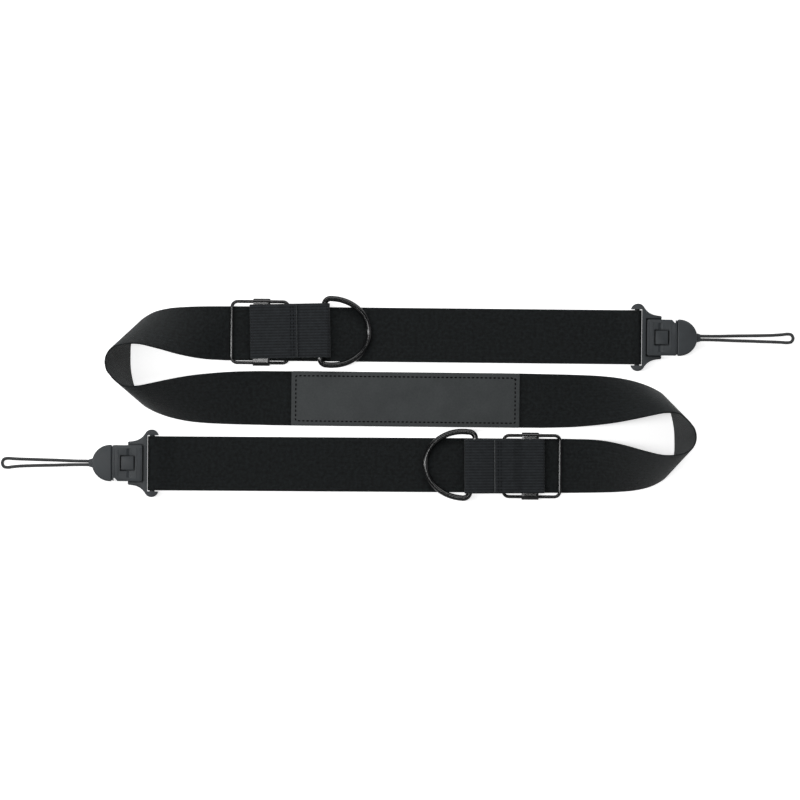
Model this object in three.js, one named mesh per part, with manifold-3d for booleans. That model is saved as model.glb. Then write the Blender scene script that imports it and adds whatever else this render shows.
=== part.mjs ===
// A camera sling strap, lying flat in three runs with a standing loop of webbing at each end.
// Millimetres, +Z up, floor at z = 0, +X along the strap to the right-hand connector.
// Each end of the strap is built in its own frame: x runs outward along the webbing to the
// connector, y across it, and x = 0 is the axis of the connector's webbing bar.
import * as THREE from "three";
import { mergeVertices } from "three/addons/utils/BufferGeometryUtils.js";
import Module from "manifold-3d";

const wasm = await Module();
wasm.setup();

// Webbing
const webbingWidth = 38;
const webbingThick = 1.1;
const layerGap = 0.3;
const shelfRun = 3;
const rampRun = 8;
const rodBend = 3;
const rampBend = 6;
const barRampRun = 12.5;
const barRampBend = 10;
const barLead = 3.5;
const barBend = 4;

// Leather pad on the middle run
const padLength = 160;
const padThick = 1.6;
const padCentreX = 5.45;
const padCornerRadius = 1.5;
const padEase = 0.4;
const padTurn = -0.65;

// Standing loops, which join the middle run to the outer runs
const runSpacing = 46.45;
const loopReach = 206.4;
const loopLength = 84;
const loopCentre = { x: 2.05, y: -0.7 };
const leftLoopLean = 1;
const rightLoopLean = 0.84;

// Slider frame and its sliding bar
const sliderLength = 42;
const sliderSpare = 7.2;
const sliderRod = 2.3;
const sliderCorner = 4;
const plateLength = 12;
const plateThick = 0.8;
const plateShift = 1;
const curlWall = 0.6;

// Ribbed pull tab
const tabThick = 1.2;
const hemShift = 5.8;
const hemLift = 0.25;
const tailShift = 3.6;
const tabFlatRun = 3.5;
const tabRampRun = 9;
const tabBend = 6;
const ringSlack = 2.2;

// D-ring
const ringWire = 4;
const ringSpare = 12.6;
const ringDepth = 37;
const ringCorner = 4.5;
const ringShoulder = 0.19;
const ringBowSteps = 19;
const ringFromSlider = 43.5;

// End adapter, a moulded fork with a bar for the webbing
const adapterSpare = 9.3;
const adapterThick = 6.2;
const barWire = 3.5;
const earRadius = 5;
const earForward = 0.5;
const earArc = 0.2;
const slotSpare = 1;
const slotDepth = 1.4;
const slotLip = 3;
const stripWidth = 3.2;
const wingLength = 10.4;
const wingTipWidth = 30.4;
const wingNeck = 6.6;
const wingSwell = 0.4;
const trayThick = 1.8;
const mouldEase = 0.6;

// Buckle: socket, release button and plug
const socketLength = 20.8;
const socketWidth = 25.2;
const socketThick = 9;
const buttonLength = 9;
const buttonWidth = 9.6;
const buttonFromBack = 5.8;
const buttonSunk = 0.5;
const wellFloor = 1.5;
const grooveHalf = 1.7;
const grooveDeep = 1.1;
const grooveLength = 5.2;
const grooveFromWell = 2;
const notchFromFront = 4;
const notchWidth = 2.2;
const notchDeep = 1.4;
const plugFlat = 1.2;
const plugThick = 9.4;
const plugEase = 1.1;
const nubLength = 2.4;
const nubWidth = 6.4;
const nubThick = 4.4;
const nubRoot = 3;
const nubTaper = 0.75;
const fitGap = 0.35;

// Cord loop on each plug
const cordWire = 2;
const rightCordReach = 64.15;
const leftCordReach = 59.9;
const cordGap = 0.65;
const cordLift = 0.05;
const cordSides = 8;

// Faceting
const wireSides = 8;
const arcSteps = 5;

// Where the ends lie: a connector's webbing bar from x = 0, and each slider's centre from the
// reach of the loop that its row leaves
const rightReach = 167.6;
const leftReach = 171.85;
const rightSliderInset = 108;
const leftSliderInset = 114.6;

// side is 1 for the end to the right. slant turns the row, rowShift is how far its slider lies
// inside the loop's outer run, and the across values are shares of the play between two pieces.
// tabSlack is the tab's slack round its bar, ringShift the D-ring's place from the usual one, and
// cordBow how much wider the cord's loop opens.
const ends = [
  {
    name: "right",
    side: 1,
    reach: rightReach,
    cordReach: rightCordReach,
    cordBow: 1,
    slant: 0.57,
    sliderInset: rightSliderInset,
    rowShift: 0.35,
    sliderAcross: 0.75,
    tabAcross: 0.42,
    tabTurn: 1.6,
    tabSlack: 0.6,
    ringShift: 0,
    ringAcross: -0.26,
    ringTurn: -5.6,
  },
  {
    name: "left",
    side: -1,
    reach: leftReach,
    cordReach: leftCordReach,
    cordBow: 1.27,
    slant: 0.365,
    sliderInset: leftSliderInset,
    rowShift: 0.06,
    sliderAcross: 0.25,
    tabAcross: 0,
    tabTurn: 0.6,
    tabSlack: 2.6,
    ringShift: -2,
    ringAcross: -0.17,
    ringTurn: -6.5,
  },
].map(placed);

// Rulings of a standing loop, from the outer run to the middle run. back and cross place the edge
// that stays on the floor: back from the loop's reach as a share of loopLength, cross from the
// outer run's outer edge to the middle run's as a share of the way. lead, inward and rise go
// from there to the other edge as shares of webbingWidth.
const loopRulings = [
  { back: 0.818, cross: 0.002, lead: 0.037, inward: 0.969, rise: 0.226 },
  { back: 0.668, cross: 0.007, lead: 0.129, inward: 0.877, rise: 0.434 },
  { back: 0.518, cross: 0.021, lead: 0.221, inward: 0.728, rise: 0.618 },
  { back: 0.41, cross: 0.049, lead: 0.332, inward: 0.589, rise: 0.724 },
  { back: 0.343, cross: 0.085, lead: 0.461, inward: 0.527, rise: 0.776 },
  { back: 0.293, cross: 0.124, lead: 0.525, inward: 0.505, rise: 0.816 },
  { back: 0.247, cross: 0.187, lead: 0.516, inward: 0.481, rise: 0.868 },
  { back: 0.21, cross: 0.299, lead: 0.464, inward: 0.354, rise: 0.903 },
  { back: 0.202, cross: 0.415, lead: 0.438, inward: 0.184, rise: 0.913 },
  { back: 0.208, cross: 0.548, lead: 0.42, inward: -0.018, rise: 0.913 },
  { back: 0.242, cross: 0.685, lead: 0.449, inward: -0.263, rise: 0.884 },
  { back: 0.302, cross: 0.805, lead: 0.516, inward: -0.455, rise: 0.821 },
  { back: 0.377, cross: 0.857, lead: 0.525, inward: -0.449, rise: 0.771 },
  { back: 0.468, cross: 0.899, lead: 0.479, inward: -0.523, rise: 0.711 },
  { back: 0.568, cross: 0.931, lead: 0.442, inward: -0.643, rise: 0.626 },
  { back: 0.685, cross: 0.955, lead: 0.368, inward: -0.768, rise: 0.516 },
  { back: 0.835, cross: 0.971, lead: 0.295, inward: -0.877, rise: 0.374 },
  { back: 1.052, cross: 0.981, lead: 0.147, inward: -0.963, rise: 0.189 },
  { back: 1.26, cross: 0.986, lead: 0.05, inward: -0.992, rise: 0.04 },
  { back: 1.43, cross: 0.99, lead: 0, inward: -1, rise: 0 },
];

// The cord loop's route from the plug's nub, chosen by hand: out along one strand, round and
// back. out is a share of cordReach, across of cordWire, rise of the nub's height above the floor.
const cordRoute = [
  { out: 0, across: 0.62, rise: 1 },
  { out: 0.043, across: 0.62, rise: 0.974 },
  { out: 0.106, across: 0.62, rise: 0.714 },
  { out: 0.183, across: 0.646, rise: 0.273 },
  { out: 0.276, across: 0.728, rise: 0.039 },
  { out: 0.385, across: 0.809, rise: 0 },
  { out: 0.509, across: 0.862, rise: 0 },
  { out: 0.665, across: 0.943, rise: 0 },
  { out: 0.789, across: 1.051, rise: 0 },
  { out: 0.882, across: 1.239, rise: 0 },
  { out: 0.936, across: 1.401, rise: 0 },
  { out: 0.98, across: 1.185, rise: 0 },
  { out: 1, across: 0.161, rise: 0 },
  { out: 0.98, across: -0.862, rise: 0 },
  { out: 0.936, across: -1.131, rise: 0 },
  { out: 0.882, across: -1.077, rise: 0 },
  { out: 0.789, across: -0.996, rise: 0 },
  { out: 0.665, across: -0.943, rise: 0 },
  { out: 0.509, across: -0.862, rise: 0 },
  { out: 0.385, across: -0.809, rise: 0 },
  { out: 0.276, across: -0.728, rise: 0.039 },
  { out: 0.183, across: -0.646, rise: 0.273 },
  { out: 0.106, across: -0.62, rise: 0.714 },
  { out: 0.043, across: -0.62, rise: 0.974 },
  { out: 0, across: -0.62, rise: 1 },
];

// Heights and places that follow from the sizes above
const sliderWidth = webbingWidth + sliderSpare;
const tabWidth = webbingWidth;
const ringHeight = webbingWidth + ringSpare;
const adapterWidth = webbingWidth + adapterSpare;
const rodRadius = sliderRod / 2;
const ringRadius = ringWire / 2;
const barRadius = barWire / 2;
const layerStep = webbingThick + layerGap;
const tabStep = tabThick + layerGap;
const floorLayer = webbingThick / 2;
const upperLayer = floorLayer + layerStep;
const rodHeight = webbingThick + layerGap + rodRadius;
const overRod = rodHeight + rodRadius + layerGap + webbingThick / 2;
const plateBottom = rodHeight + rodRadius + layerGap;
const tabUnderPlate = plateBottom - layerGap - tabThick / 2;
const tabOverPlate = plateBottom + plateThick + layerGap + tabThick / 2;
const tabUnderHigh = overRod + webbingThick / 2 + layerGap + tabThick / 2;
const tabMiddleHigh = tabUnderHigh + tabStep;
const tabTopHigh = tabMiddleHigh + tabStep;
const tabUnderRing = upperLayer + webbingThick / 2 + layerGap + tabThick / 2;
const ringHeightZ = tabUnderRing + tabThick / 2 + layerGap + ringRadius;
const tabOverRing = ringHeightZ + ringRadius + layerGap + tabThick / 2;
const barHeight = webbingThick + layerGap + barRadius;
const barWrap = barRadius + layerGap + webbingThick / 2;
const farRod = sliderLength / 2 - rodRadius;
const sliderPlay = sliderSpare / 2 - sliderRod;
const ringPlay = ringSpare / 2 - ringWire;
const stripStart = barWrap + webbingThick / 2 + slotDepth - webbingThick;
const socketStart = stripStart + stripWidth + fitGap;
const plugStart = socketStart + socketLength + fitGap;
const plugProud = 0.2;
const plugRadius = socketWidth / 2 + plugProud;
const plugEnd = plugStart + plugFlat + plugRadius;
const restHeight = 0;

const finishes = {
  webbing: { color: 0x181b1f, roughness: 0.8, metalness: 0 },
  tab: { color: 0x2a2d31, roughness: 0.85, metalness: 0 },
  leather: { color: 0x35373a, roughness: 0.6, metalness: 0 },
  metal: { color: 0x101113, roughness: 0.3, metalness: 0.6 },
  plastic: { color: 0x2b2e31, roughness: 0.55, metalness: 0 },
  cord: { color: 0x1c1d1f, roughness: 0.8, metalness: 0 },
};

// An end with the places that follow from its row: its webbing bar, direction and slider
function placed(end) {
  const lean = THREE.MathUtils.degToRad(end.slant);
  const x = end.side * end.reach;
  const sliderX = loopCentre.x - end.side * (loopReach - end.sliderInset);
  const sliderY = loopCentre.y + end.side * (runSpacing - end.rowShift);
  const sliderBack = (end.side * (x - sliderX)) / Math.cos(lean);
  const y = sliderY - end.side * sliderBack * Math.sin(lean);
  return { ...end, x, y, sliderBack, turn: (end.side > 0 ? 0 : 180) - end.slant };
}

// A closed solid skinned through rings of points; the rings join end to start when closed
function skin(rings, closed = false) {
  const sides = rings[0].length;
  const positions = rings.flat().flatMap((p) => [p.x, p.y, p.z]);
  const faces = [];
  const spans = closed ? rings.length : rings.length - 1;
  for (let i = 0; i < spans; i++) {
    const next = (i + 1) % rings.length;
    for (let j = 0; j < sides; j++) {
      const k = (j + 1) % sides;
      faces.push(i * sides + j, next * sides + k, i * sides + k);
      faces.push(i * sides + j, next * sides + j, next * sides + k);
    }
  }
  if (!closed) {
    const last = (rings.length - 1) * sides;
    for (let j = 1; j < sides - 1; j++) {
      faces.push(0, j, j + 1);
      faces.push(last, last + j + 1, last + j);
    }
  }
  const geometry = new THREE.BufferGeometry();
  geometry.setAttribute("position", new THREE.Float32BufferAttribute(positions, 3));
  geometry.setIndex(faces);
  return outward(geometry);
}

// Turns a closed geometry so that its faces point out
function outward(geometry) {
  const p = geometry.attributes.position;
  const index = geometry.index.array;
  const corner = [new THREE.Vector3(), new THREE.Vector3(), new THREE.Vector3()];
  let volume = 0;
  for (let i = 0; i < index.length; i += 3) {
    corner.forEach((v, k) => v.fromBufferAttribute(p, index[i + k]));
    volume += corner[0].dot(corner[1].clone().cross(corner[2]));
  }
  if (volume < 0) {
    for (let i = 0; i < index.length; i += 3) [index[i + 1], index[i + 2]] = [index[i + 2], index[i + 1]];
  }
  return geometry;
}

// Points of a polyline whose inner corners are rounded; each knot is { x, z, r }
function rounded(knots) {
  const points = [];
  knots.forEach((knot, i) => {
    const here = new THREE.Vector2(knot.x, knot.z);
    if (!knot.r || i === 0 || i === knots.length - 1) {
      points.push(here);
      return;
    }
    const toBack = new THREE.Vector2(knots[i - 1].x, knots[i - 1].z).sub(here).normalize();
    const toNext = new THREE.Vector2(knots[i + 1].x, knots[i + 1].z).sub(here).normalize();
    const half = Math.acos(THREE.MathUtils.clamp(toBack.dot(toNext), -1, 1)) / 2;
    const centre = toBack.clone().add(toNext).normalize().multiplyScalar(knot.r / Math.sin(half)).add(here);
    const from = toBack.clone().multiplyScalar(knot.r / Math.tan(half)).add(here).sub(centre);
    const to = toNext.clone().multiplyScalar(knot.r / Math.tan(half)).add(here).sub(centre);
    const sweep = Math.atan2(from.cross(to), from.dot(to));
    for (let k = 0; k <= arcSteps; k++) {
      points.push(from.clone().rotateAround(new THREE.Vector2(), (sweep * k) / arcSteps).add(centre));
    }
  });
  return points;
}

// A strip of cloth: a side-view path given wall and width, centred on y = 0
function strip(knots, thick, width) {
  const path = rounded(knots);
  const rings = path.map((p, i) => {
    const back = path[Math.max(i - 1, 0)];
    const next = path[Math.min(i + 1, path.length - 1)];
    const before = p.clone().sub(back);
    const after = next.clone().sub(p);
    const side = before.normalize().add(after.normalize()).normalize();
    const bend = Math.max(0.5, i && i < path.length - 1 ? side.dot(before.lengthSq() ? before : after) : 1);
    const out = new THREE.Vector2(-side.y, side.x).multiplyScalar(thick / 2 / bend);
    const corners = [
      [p.x + out.x, -width / 2, p.y + out.y],
      [p.x + out.x, width / 2, p.y + out.y],
      [p.x - out.x, width / 2, p.y - out.y],
      [p.x - out.x, -width / 2, p.y - out.y],
    ];
    return corners.map((c) => new THREE.Vector3(...c));
  });
  return skin(rings);
}

// A closed ring of wire round a flat outline of Vector2 points, at height 0
function wireRing(outline, radius) {
  const rings = outline.map((p, i) => {
    const back = outline[(i + outline.length - 1) % outline.length];
    const next = outline[(i + 1) % outline.length];
    const before = p.clone().sub(back).normalize();
    const after = next.clone().sub(p).normalize();
    const along = before.clone().add(after).normalize();
    const stretch = 1 / Math.max(0.5, along.dot(before));
    const out = new THREE.Vector2(along.y, -along.x).multiplyScalar(stretch);
    return Array.from({ length: wireSides }, (_, k) => {
      const a = ((k + 0.5) / wireSides) * 2 * Math.PI;
      const flat = radius * Math.cos(a);
      return new THREE.Vector3(p.x + out.x * flat, p.y + out.y * flat, radius * Math.sin(a));
    });
  });
  return skin(rings, true);
}

// A round rod between two points
function rod(from, to, radius, sides = wireSides) {
  const geometry = new THREE.CylinderGeometry(radius, radius, from.distanceTo(to), sides, 1);
  const turn = new THREE.Quaternion().setFromUnitVectors(
    new THREE.Vector3(0, 1, 0),
    to.clone().sub(from).normalize(),
  );
  geometry.applyQuaternion(turn);
  return geometry.translate(...from.clone().add(to).multiplyScalar(0.5).toArray());
}

// A flat plate of an outline, from height z0 to z1, with its edges eased by bevel
function plate(shape, z0, z1, bevel = 0) {
  const outline = shape.getPoints(8);
  const clean = outline.filter((p, i) => i === 0 || p.distanceTo(outline[i - 1]) > 0.01);
  if (clean[0].distanceTo(clean[clean.length - 1]) < 0.01) clean.pop();
  const geometry = new THREE.ExtrudeGeometry(new THREE.Shape(clean), {
    depth: z1 - z0 - 2 * bevel,
    bevelEnabled: bevel > 0,
    bevelThickness: bevel,
    bevelSize: bevel,
    bevelOffset: -bevel,
    bevelSegments: 2,
  });
  return geometry.translate(0, 0, z0 + bevel);
}

function block(x0, x1, y0, y1, z0, z1) {
  const geometry = new THREE.BoxGeometry(x1 - x0, y1 - y0, z1 - z0);
  return geometry.translate((x0 + x1) / 2, (y0 + y1) / 2, (z0 + z1) / 2);
}

function solid(geometry) {
  const bare = geometry.clone();
  bare.deleteAttribute("normal");
  bare.deleteAttribute("uv");
  const merged = mergeVertices(bare, 1e-4);
  return new wasm.Manifold(
    new wasm.Mesh({
      numProp: 3,
      vertProperties: merged.attributes.position.array,
      triVerts: new Uint32Array(merged.index.array),
    }),
  );
}

// The first geometries joined, less the others
function carve(joined, cuts = []) {
  const whole = joined.map(solid).reduce((a, b) => a.add(b));
  const made = cuts.map(solid).reduce((a, b) => a.subtract(b), whole).getMesh();
  const geometry = new THREE.BufferGeometry();
  const positions = [];
  for (let i = 0; i < made.numVert; i++) {
    const at = i * made.numProp;
    positions.push(...made.vertProperties.subarray(at, at + 3));
  }
  geometry.setAttribute("position", new THREE.Float32BufferAttribute(positions, 3));
  geometry.setIndex([...made.triVerts]);
  return geometry;
}

function piece(name, geometry, finish) {
  const faceted = geometry.index ? geometry.toNonIndexed() : geometry;
  faceted.computeVertexNormals();
  const mesh = new THREE.Mesh(faceted, new THREE.MeshStandardMaterial(finishes[finish]));
  mesh.name = name;
  return mesh;
}

// An end's frame as a matrix from its own coordinates to the strap's
function endMatrix(end) {
  const turn = new THREE.Matrix4().makeRotationZ(THREE.MathUtils.degToRad(end.turn));
  return turn.setPosition(end.x, end.y, 0);
}

// The webbing's two edges where it runs straight along an end's row and over the slider's far rod
function rowEdges(end) {
  const shelf = farRod - end.sliderBack;
  const knots = [
    { x: shelf, z: overRod },
    { x: shelf - rodRadius, z: overRod, r: rodBend },
    { x: shelf - rodRadius - rampRun, z: floorLayer, r: rodBend },
    { x: -end.sliderBack - sliderLength / 2 - shelfRun, z: floorLayer },
  ];
  const matrix = endMatrix(end);
  return rounded(knots).map((p) => ({
    onFloor: new THREE.Vector3(p.x, webbingWidth / 2, p.y).applyMatrix4(matrix),
    raised: new THREE.Vector3(p.x, -webbingWidth / 2, p.y).applyMatrix4(matrix),
  }));
}

// The webbing's two edges along one standing loop; side 1 is the left-hand loop, -1 the right.
// A lean under 1 stands the loop more upright, with its raised edge in the same place seen from above.
function loopEdges(side) {
  const outerEdge = runSpacing + webbingWidth / 2;
  const crossing = runSpacing + webbingWidth;
  const lean = side > 0 ? leftLoopLean : rightLoopLean;
  return loopRulings.map((row) => {
    const lead = lean * row.lead;
    const rise = Math.hypot(row.rise, row.lead * Math.sqrt(1 - lean * lean));
    const u = loopReach - row.back * loopLength + (row.lead - lead) * webbingWidth;
    const v = outerEdge - row.cross * crossing;
    const place = (along, across, z) =>
      new THREE.Vector3(loopCentre.x - side * along, loopCentre.y + side * across, z);
    return {
      onFloor: place(u, v, floorLayer),
      raised: place(
        u + lead * webbingWidth,
        v - row.inward * webbingWidth,
        floorLayer + rise * webbingWidth,
      ),
    };
  });
}

// The webbing from one slider through both loops to the other, skinned across its rulings
function shoulderWebbing() {
  const right = ends[0];
  const left = ends[1];
  const flip = (edges) => edges.map((e) => ({ onFloor: e.raised, raised: e.onFloor }));
  const start = [...rowEdges(right), ...loopEdges(1)];
  const finish = [...rowEdges(left), ...loopEdges(-1)].reverse();
  const stations = [...start, ...flip(finish)];
  const straight = rowEdges(right).length - 1;
  const smooth = (key) =>
    new THREE.CatmullRomCurve3(
      stations.slice(straight, stations.length - straight).map((s) => s[key]),
      false,
      "centripetal",
    );
  const first = smooth("onFloor");
  const second = smooth("raised");
  const steps = (stations.length - 2 * straight - 1) * 2;
  const pairs = [];
  stations.slice(0, straight).forEach((s) => pairs.push([s.onFloor, s.raised]));
  for (let i = 0; i <= steps; i++) {
    const pair = [first.getPoint(i / steps), second.getPoint(i / steps)];
    pair.forEach((p) => p.setZ(Math.max(p.z, floorLayer)));
    pairs.push(pair);
  }
  stations.slice(stations.length - straight).forEach((s) => pairs.push([s.onFloor, s.raised]));
  return skin(pairs.map((pair, i) => crossSection(pairs, pair, i)));
}

// The four corners of a band of webbing at one of its rulings
function crossSection(pairs, [a, b], i) {
  const middle = ([p, q]) => p.clone().add(q).multiplyScalar(0.5);
  const back = middle(pairs[Math.max(i - 1, 0)]);
  const next = middle(pairs[Math.min(i + 1, pairs.length - 1)]);
  const along = next.sub(back);
  const out = along.cross(b.clone().sub(a)).normalize().multiplyScalar(webbingThick / 2);
  return [a.clone().add(out), b.clone().add(out), b.clone().sub(out), a.clone().sub(out)];
}

// The doubled webbing from the slider's far rod to the connector's bar and back
function endWebbing(end) {
  const shelf = farRod - end.sliderBack;
  const top = barHeight + barWrap;
  return strip(
    [
      { x: shelf + layerGap, z: overRod },
      { x: shelf + shelfRun, z: overRod, r: rodBend },
      { x: shelf + shelfRun + rampRun, z: upperLayer, r: rampBend },
      { x: -barLead - barRampRun, z: upperLayer, r: barRampBend },
      { x: -barLead, z: top, r: barBend },
      { x: barWrap, z: top, r: barWrap },
      { x: barWrap, z: barHeight - barWrap, r: barWrap },
      { x: shelf + shelfRun, z: floorLayer },
    ],
    webbingThick,
    webbingWidth,
  );
}

function leatherPad() {
  const shape = roundedRectangle(padLength, webbingWidth, padCornerRadius);
  const bottom = webbingThick + layerGap;
  return plate(shape, bottom, bottom + padThick, padEase);
}

function roundedRectangle(length, width, radius) {
  const outline = frameOutline(length, width, radius);
  return new THREE.Shape(outline);
}

function frameOutline(length, width, radius) {
  const points = [];
  const corners = [
    [1, 1],
    [-1, 1],
    [-1, -1],
    [1, -1],
  ];
  corners.forEach(([sx, sy], i) => {
    for (let k = 0; k <= arcSteps; k++) {
      const a = ((i + k / arcSteps) * Math.PI) / 2;
      const x = sx * (length / 2 - radius) + radius * Math.cos(a);
      const y = sy * (width / 2 - radius) + radius * Math.sin(a);
      points.push(new THREE.Vector2(x, y));
    }
  });
  return points;
}

function sliderFrame() {
  const outline = frameOutline(sliderLength - sliderRod, sliderWidth - sliderRod, sliderCorner);
  return wireRing(outline, rodRadius).translate(0, 0, rodHeight);
}

// A flat plate across the slider, whose ends curl down round the outside of the side rods
function slidingBar() {
  const railY = (sliderWidth - sliderRod) / 2;
  const inner = rodRadius + layerGap;
  const outer = inner + curlWall;
  const x0 = plateShift - plateLength / 2;
  const x1 = plateShift + plateLength / 2;
  const flat = block(x0, x1, -railY, railY, plateBottom, plateBottom + plateThick);
  const curls = [-1, 1].flatMap((s) => {
    const from = new THREE.Vector3(x0, s * railY, rodHeight);
    const to = new THREE.Vector3(x1, s * railY, rodHeight);
    return [rod(from, to, outer, 16)];
  });
  const hollows = [-1, 1].flatMap((s) => {
    const from = new THREE.Vector3(x0 - 1, s * railY, rodHeight);
    const to = new THREE.Vector3(x1 + 1, s * railY, rodHeight);
    const inside = block(x0 - 1, x1 + 1, ...(s > 0 ? [0, railY] : [-railY, 0]), 0, plateBottom);
    return [rod(from, to, inner, 16), inside];
  });
  return carve([flat, ...curls], hollows);
}

// The ribbed tab: from its hem on top, round the sliding bar, under, round the D-ring and back
function pullTab(end) {
  const plateEdge = plateShift - plateLength / 2;
  const plateFront = plateShift + plateLength / 2;
  const plateWrap = (tabOverPlate - tabUnderPlate) / 2;
  const turnX = plateEdge - layerGap - end.tabSlack - tabThick / 2;
  const ringWrap = (tabOverRing - tabUnderRing) / 2;
  const barX = ringFromSlider + end.ringShift;
  const ringTurnX = barX + ringWrap + ringSlack;
  return strip(
    [
      { x: farRod + hemShift, z: tabTopHigh + hemLift },
      { x: farRod - 2 * tabFlatRun, z: tabTopHigh, r: tabBend },
      { x: plateFront, z: tabOverPlate + hemLift, r: tabBend },
      { x: turnX, z: tabOverPlate, r: plateWrap },
      { x: turnX, z: tabUnderPlate, r: plateWrap },
      { x: plateFront + rodRadius, z: tabUnderPlate, r: tabBend / 3 },
      { x: farRod - tabFlatRun, z: tabUnderHigh, r: tabBend / 2 },
      { x: farRod + tabFlatRun, z: tabUnderHigh, r: tabBend / 2 },
      { x: farRod + tabFlatRun + tabRampRun, z: tabUnderRing, r: tabBend },
      { x: ringTurnX, z: tabUnderRing, r: ringWrap },
      { x: ringTurnX, z: tabOverRing, r: ringWrap },
      { x: barX - tabBend, z: tabOverRing, r: tabBend },
      { x: farRod + tabFlatRun, z: tabMiddleHigh, r: tabBend },
      { x: farRod - tailShift, z: tabMiddleHigh },
    ],
    tabThick,
    tabWidth,
  );
}

// The D-ring about its straight bar, which lies on the y axis; the bow runs to +x
function dRing() {
  const barHalf = ringHeight / 2 - ringRadius;
  const reach = ringDepth - ringWire;
  const nose = reach * ringShoulder;
  const corner = ringCorner;
  const outline = [];
  for (let k = 0; k <= arcSteps; k++) {
    const a = -Math.PI + (k / arcSteps) * (Math.PI / 2);
    outline.push(new THREE.Vector2(corner + corner * Math.cos(a), corner - barHalf + corner * Math.sin(a)));
  }
  for (let k = 1; k < ringBowSteps; k++) {
    const a = -Math.PI / 2 + (k / ringBowSteps) * Math.PI;
    outline.push(new THREE.Vector2(nose + (reach - nose) * Math.cos(a), barHalf * Math.sin(a)));
  }
  for (let k = arcSteps; k >= 0; k--) {
    const a = Math.PI - (k / arcSteps) * (Math.PI / 2);
    outline.push(new THREE.Vector2(corner + corner * Math.cos(a), barHalf - corner + corner * Math.sin(a)));
  }
  return wireRing(outline, ringRadius);
}

// The moulded fork: ears, webbing bar, strip, and wings beside the buckle
function endAdapter() {
  const half = adapterWidth / 2;
  const slotHalf = webbingWidth / 2 + slotSpare;
  const stripEnd = stripStart + stripWidth;
  const wingEnd = stripEnd + wingLength;
  const tipHalf = wingTipWidth / 2;
  const shape = new THREE.Shape();
  const earY = half - earRadius;
  const earX = earForward + earRadius * Math.cos(earArc * Math.PI);
  const earTopY = earY + earRadius * Math.sin(earArc * Math.PI);
  const neckX = stripEnd + mouldEase;
  const wingX = stripEnd + stripWidth + mouldEase;
  const edge = 1;
  shape.moveTo(earForward - earRadius, slotLip - slotHalf);
  shape.lineTo(earForward - earRadius, -earY);
  shape.absarc(earForward, -earY, earRadius, Math.PI, (2 - earArc) * Math.PI, false);
  shape.bezierCurveTo(neckX, wingNeck - half, wingX, -tipHalf - wingSwell, wingEnd - edge, -tipHalf);
  shape.quadraticCurveTo(wingEnd, -tipHalf, wingEnd, edge - tipHalf);
  shape.lineTo(wingEnd, tipHalf - edge);
  shape.quadraticCurveTo(wingEnd, tipHalf, wingEnd - edge, tipHalf);
  shape.bezierCurveTo(wingX, tipHalf + wingSwell, neckX, half - wingNeck, earX, earTopY);
  shape.absarc(earForward, earY, earRadius, earArc * Math.PI, Math.PI, false);
  shape.lineTo(earForward - earRadius, slotHalf - slotLip);
  shape.closePath();
  const top = restHeight + adapterThick;
  const body = plate(shape, restHeight, top, mouldEase);
  const slot = block(-2 * earRadius, stripStart, -slotHalf, slotHalf, -1, top + 1);
  const socketHalf = socketWidth / 2 + fitGap;
  const pocket = block(stripEnd, wingEnd + 1, -socketHalf, socketHalf, restHeight + trayThick, top + 1);
  const bar = rod(
    new THREE.Vector3(0, -slotHalf - barRadius, barHeight),
    new THREE.Vector3(0, slotHalf + barRadius, barHeight),
    barRadius,
    12,
  );
  return carve([carve([body], [slot, pocket]), bar]);
}

function buckleSocket() {
  const half = socketWidth / 2;
  const bottom = restHeight + trayThick + fitGap;
  const top = bottom + socketThick - trayThick;
  const back = socketStart;
  const front = socketStart + socketLength;
  const shape = new THREE.Shape(frameOutline(socketLength, socketWidth, 2 * mouldEase));
  const body = plate(shape, bottom, top, mouldEase).translate((back + front) / 2, 0, 0);
  const window0 = back + buttonFromBack - fitGap;
  const window1 = window0 + buttonLength + 2 * fitGap;
  const side = buttonWidth / 2 + fitGap;
  const well = block(window0, window1, -side, side, bottom + wellFloor, top + 1);
  const grooveX = (window0 + window1) / 2 - 1;
  const grooves = [-1, 1].map((s) => vGroove(grooveX, s * (side + grooveFromWell), top));
  const notch0 = front - notchFromFront;
  const notch = block(notch0, notch0 + notchWidth, half - notchDeep, half + 1, bottom - 1, top + 1);
  return carve([body], [well, ...grooves, notch]);
}

// A shallow V cut in a top face, with its line along y
function vGroove(x, y, top) {
  const above = 0.2;
  const shape = new THREE.Shape();
  shape.moveTo(-grooveHalf, above);
  shape.lineTo(0, -grooveDeep);
  shape.lineTo(grooveHalf, above);
  shape.closePath();
  const geometry = new THREE.ExtrudeGeometry(shape, { depth: grooveLength, bevelEnabled: false });
  return geometry.rotateX(Math.PI / 2).translate(x, y + grooveLength / 2, top);
}

function releaseButton() {
  const bottom = restHeight + trayThick + fitGap;
  const top = bottom + socketThick - trayThick - buttonSunk;
  const x0 = socketStart + buttonFromBack;
  const shape = new THREE.Shape(frameOutline(buttonLength, buttonWidth, mouldEase));
  const button = plate(shape, bottom + wellFloor + fitGap, top, fitGap);
  return button.translate(x0 + buttonLength / 2, 0, 0);
}

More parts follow.
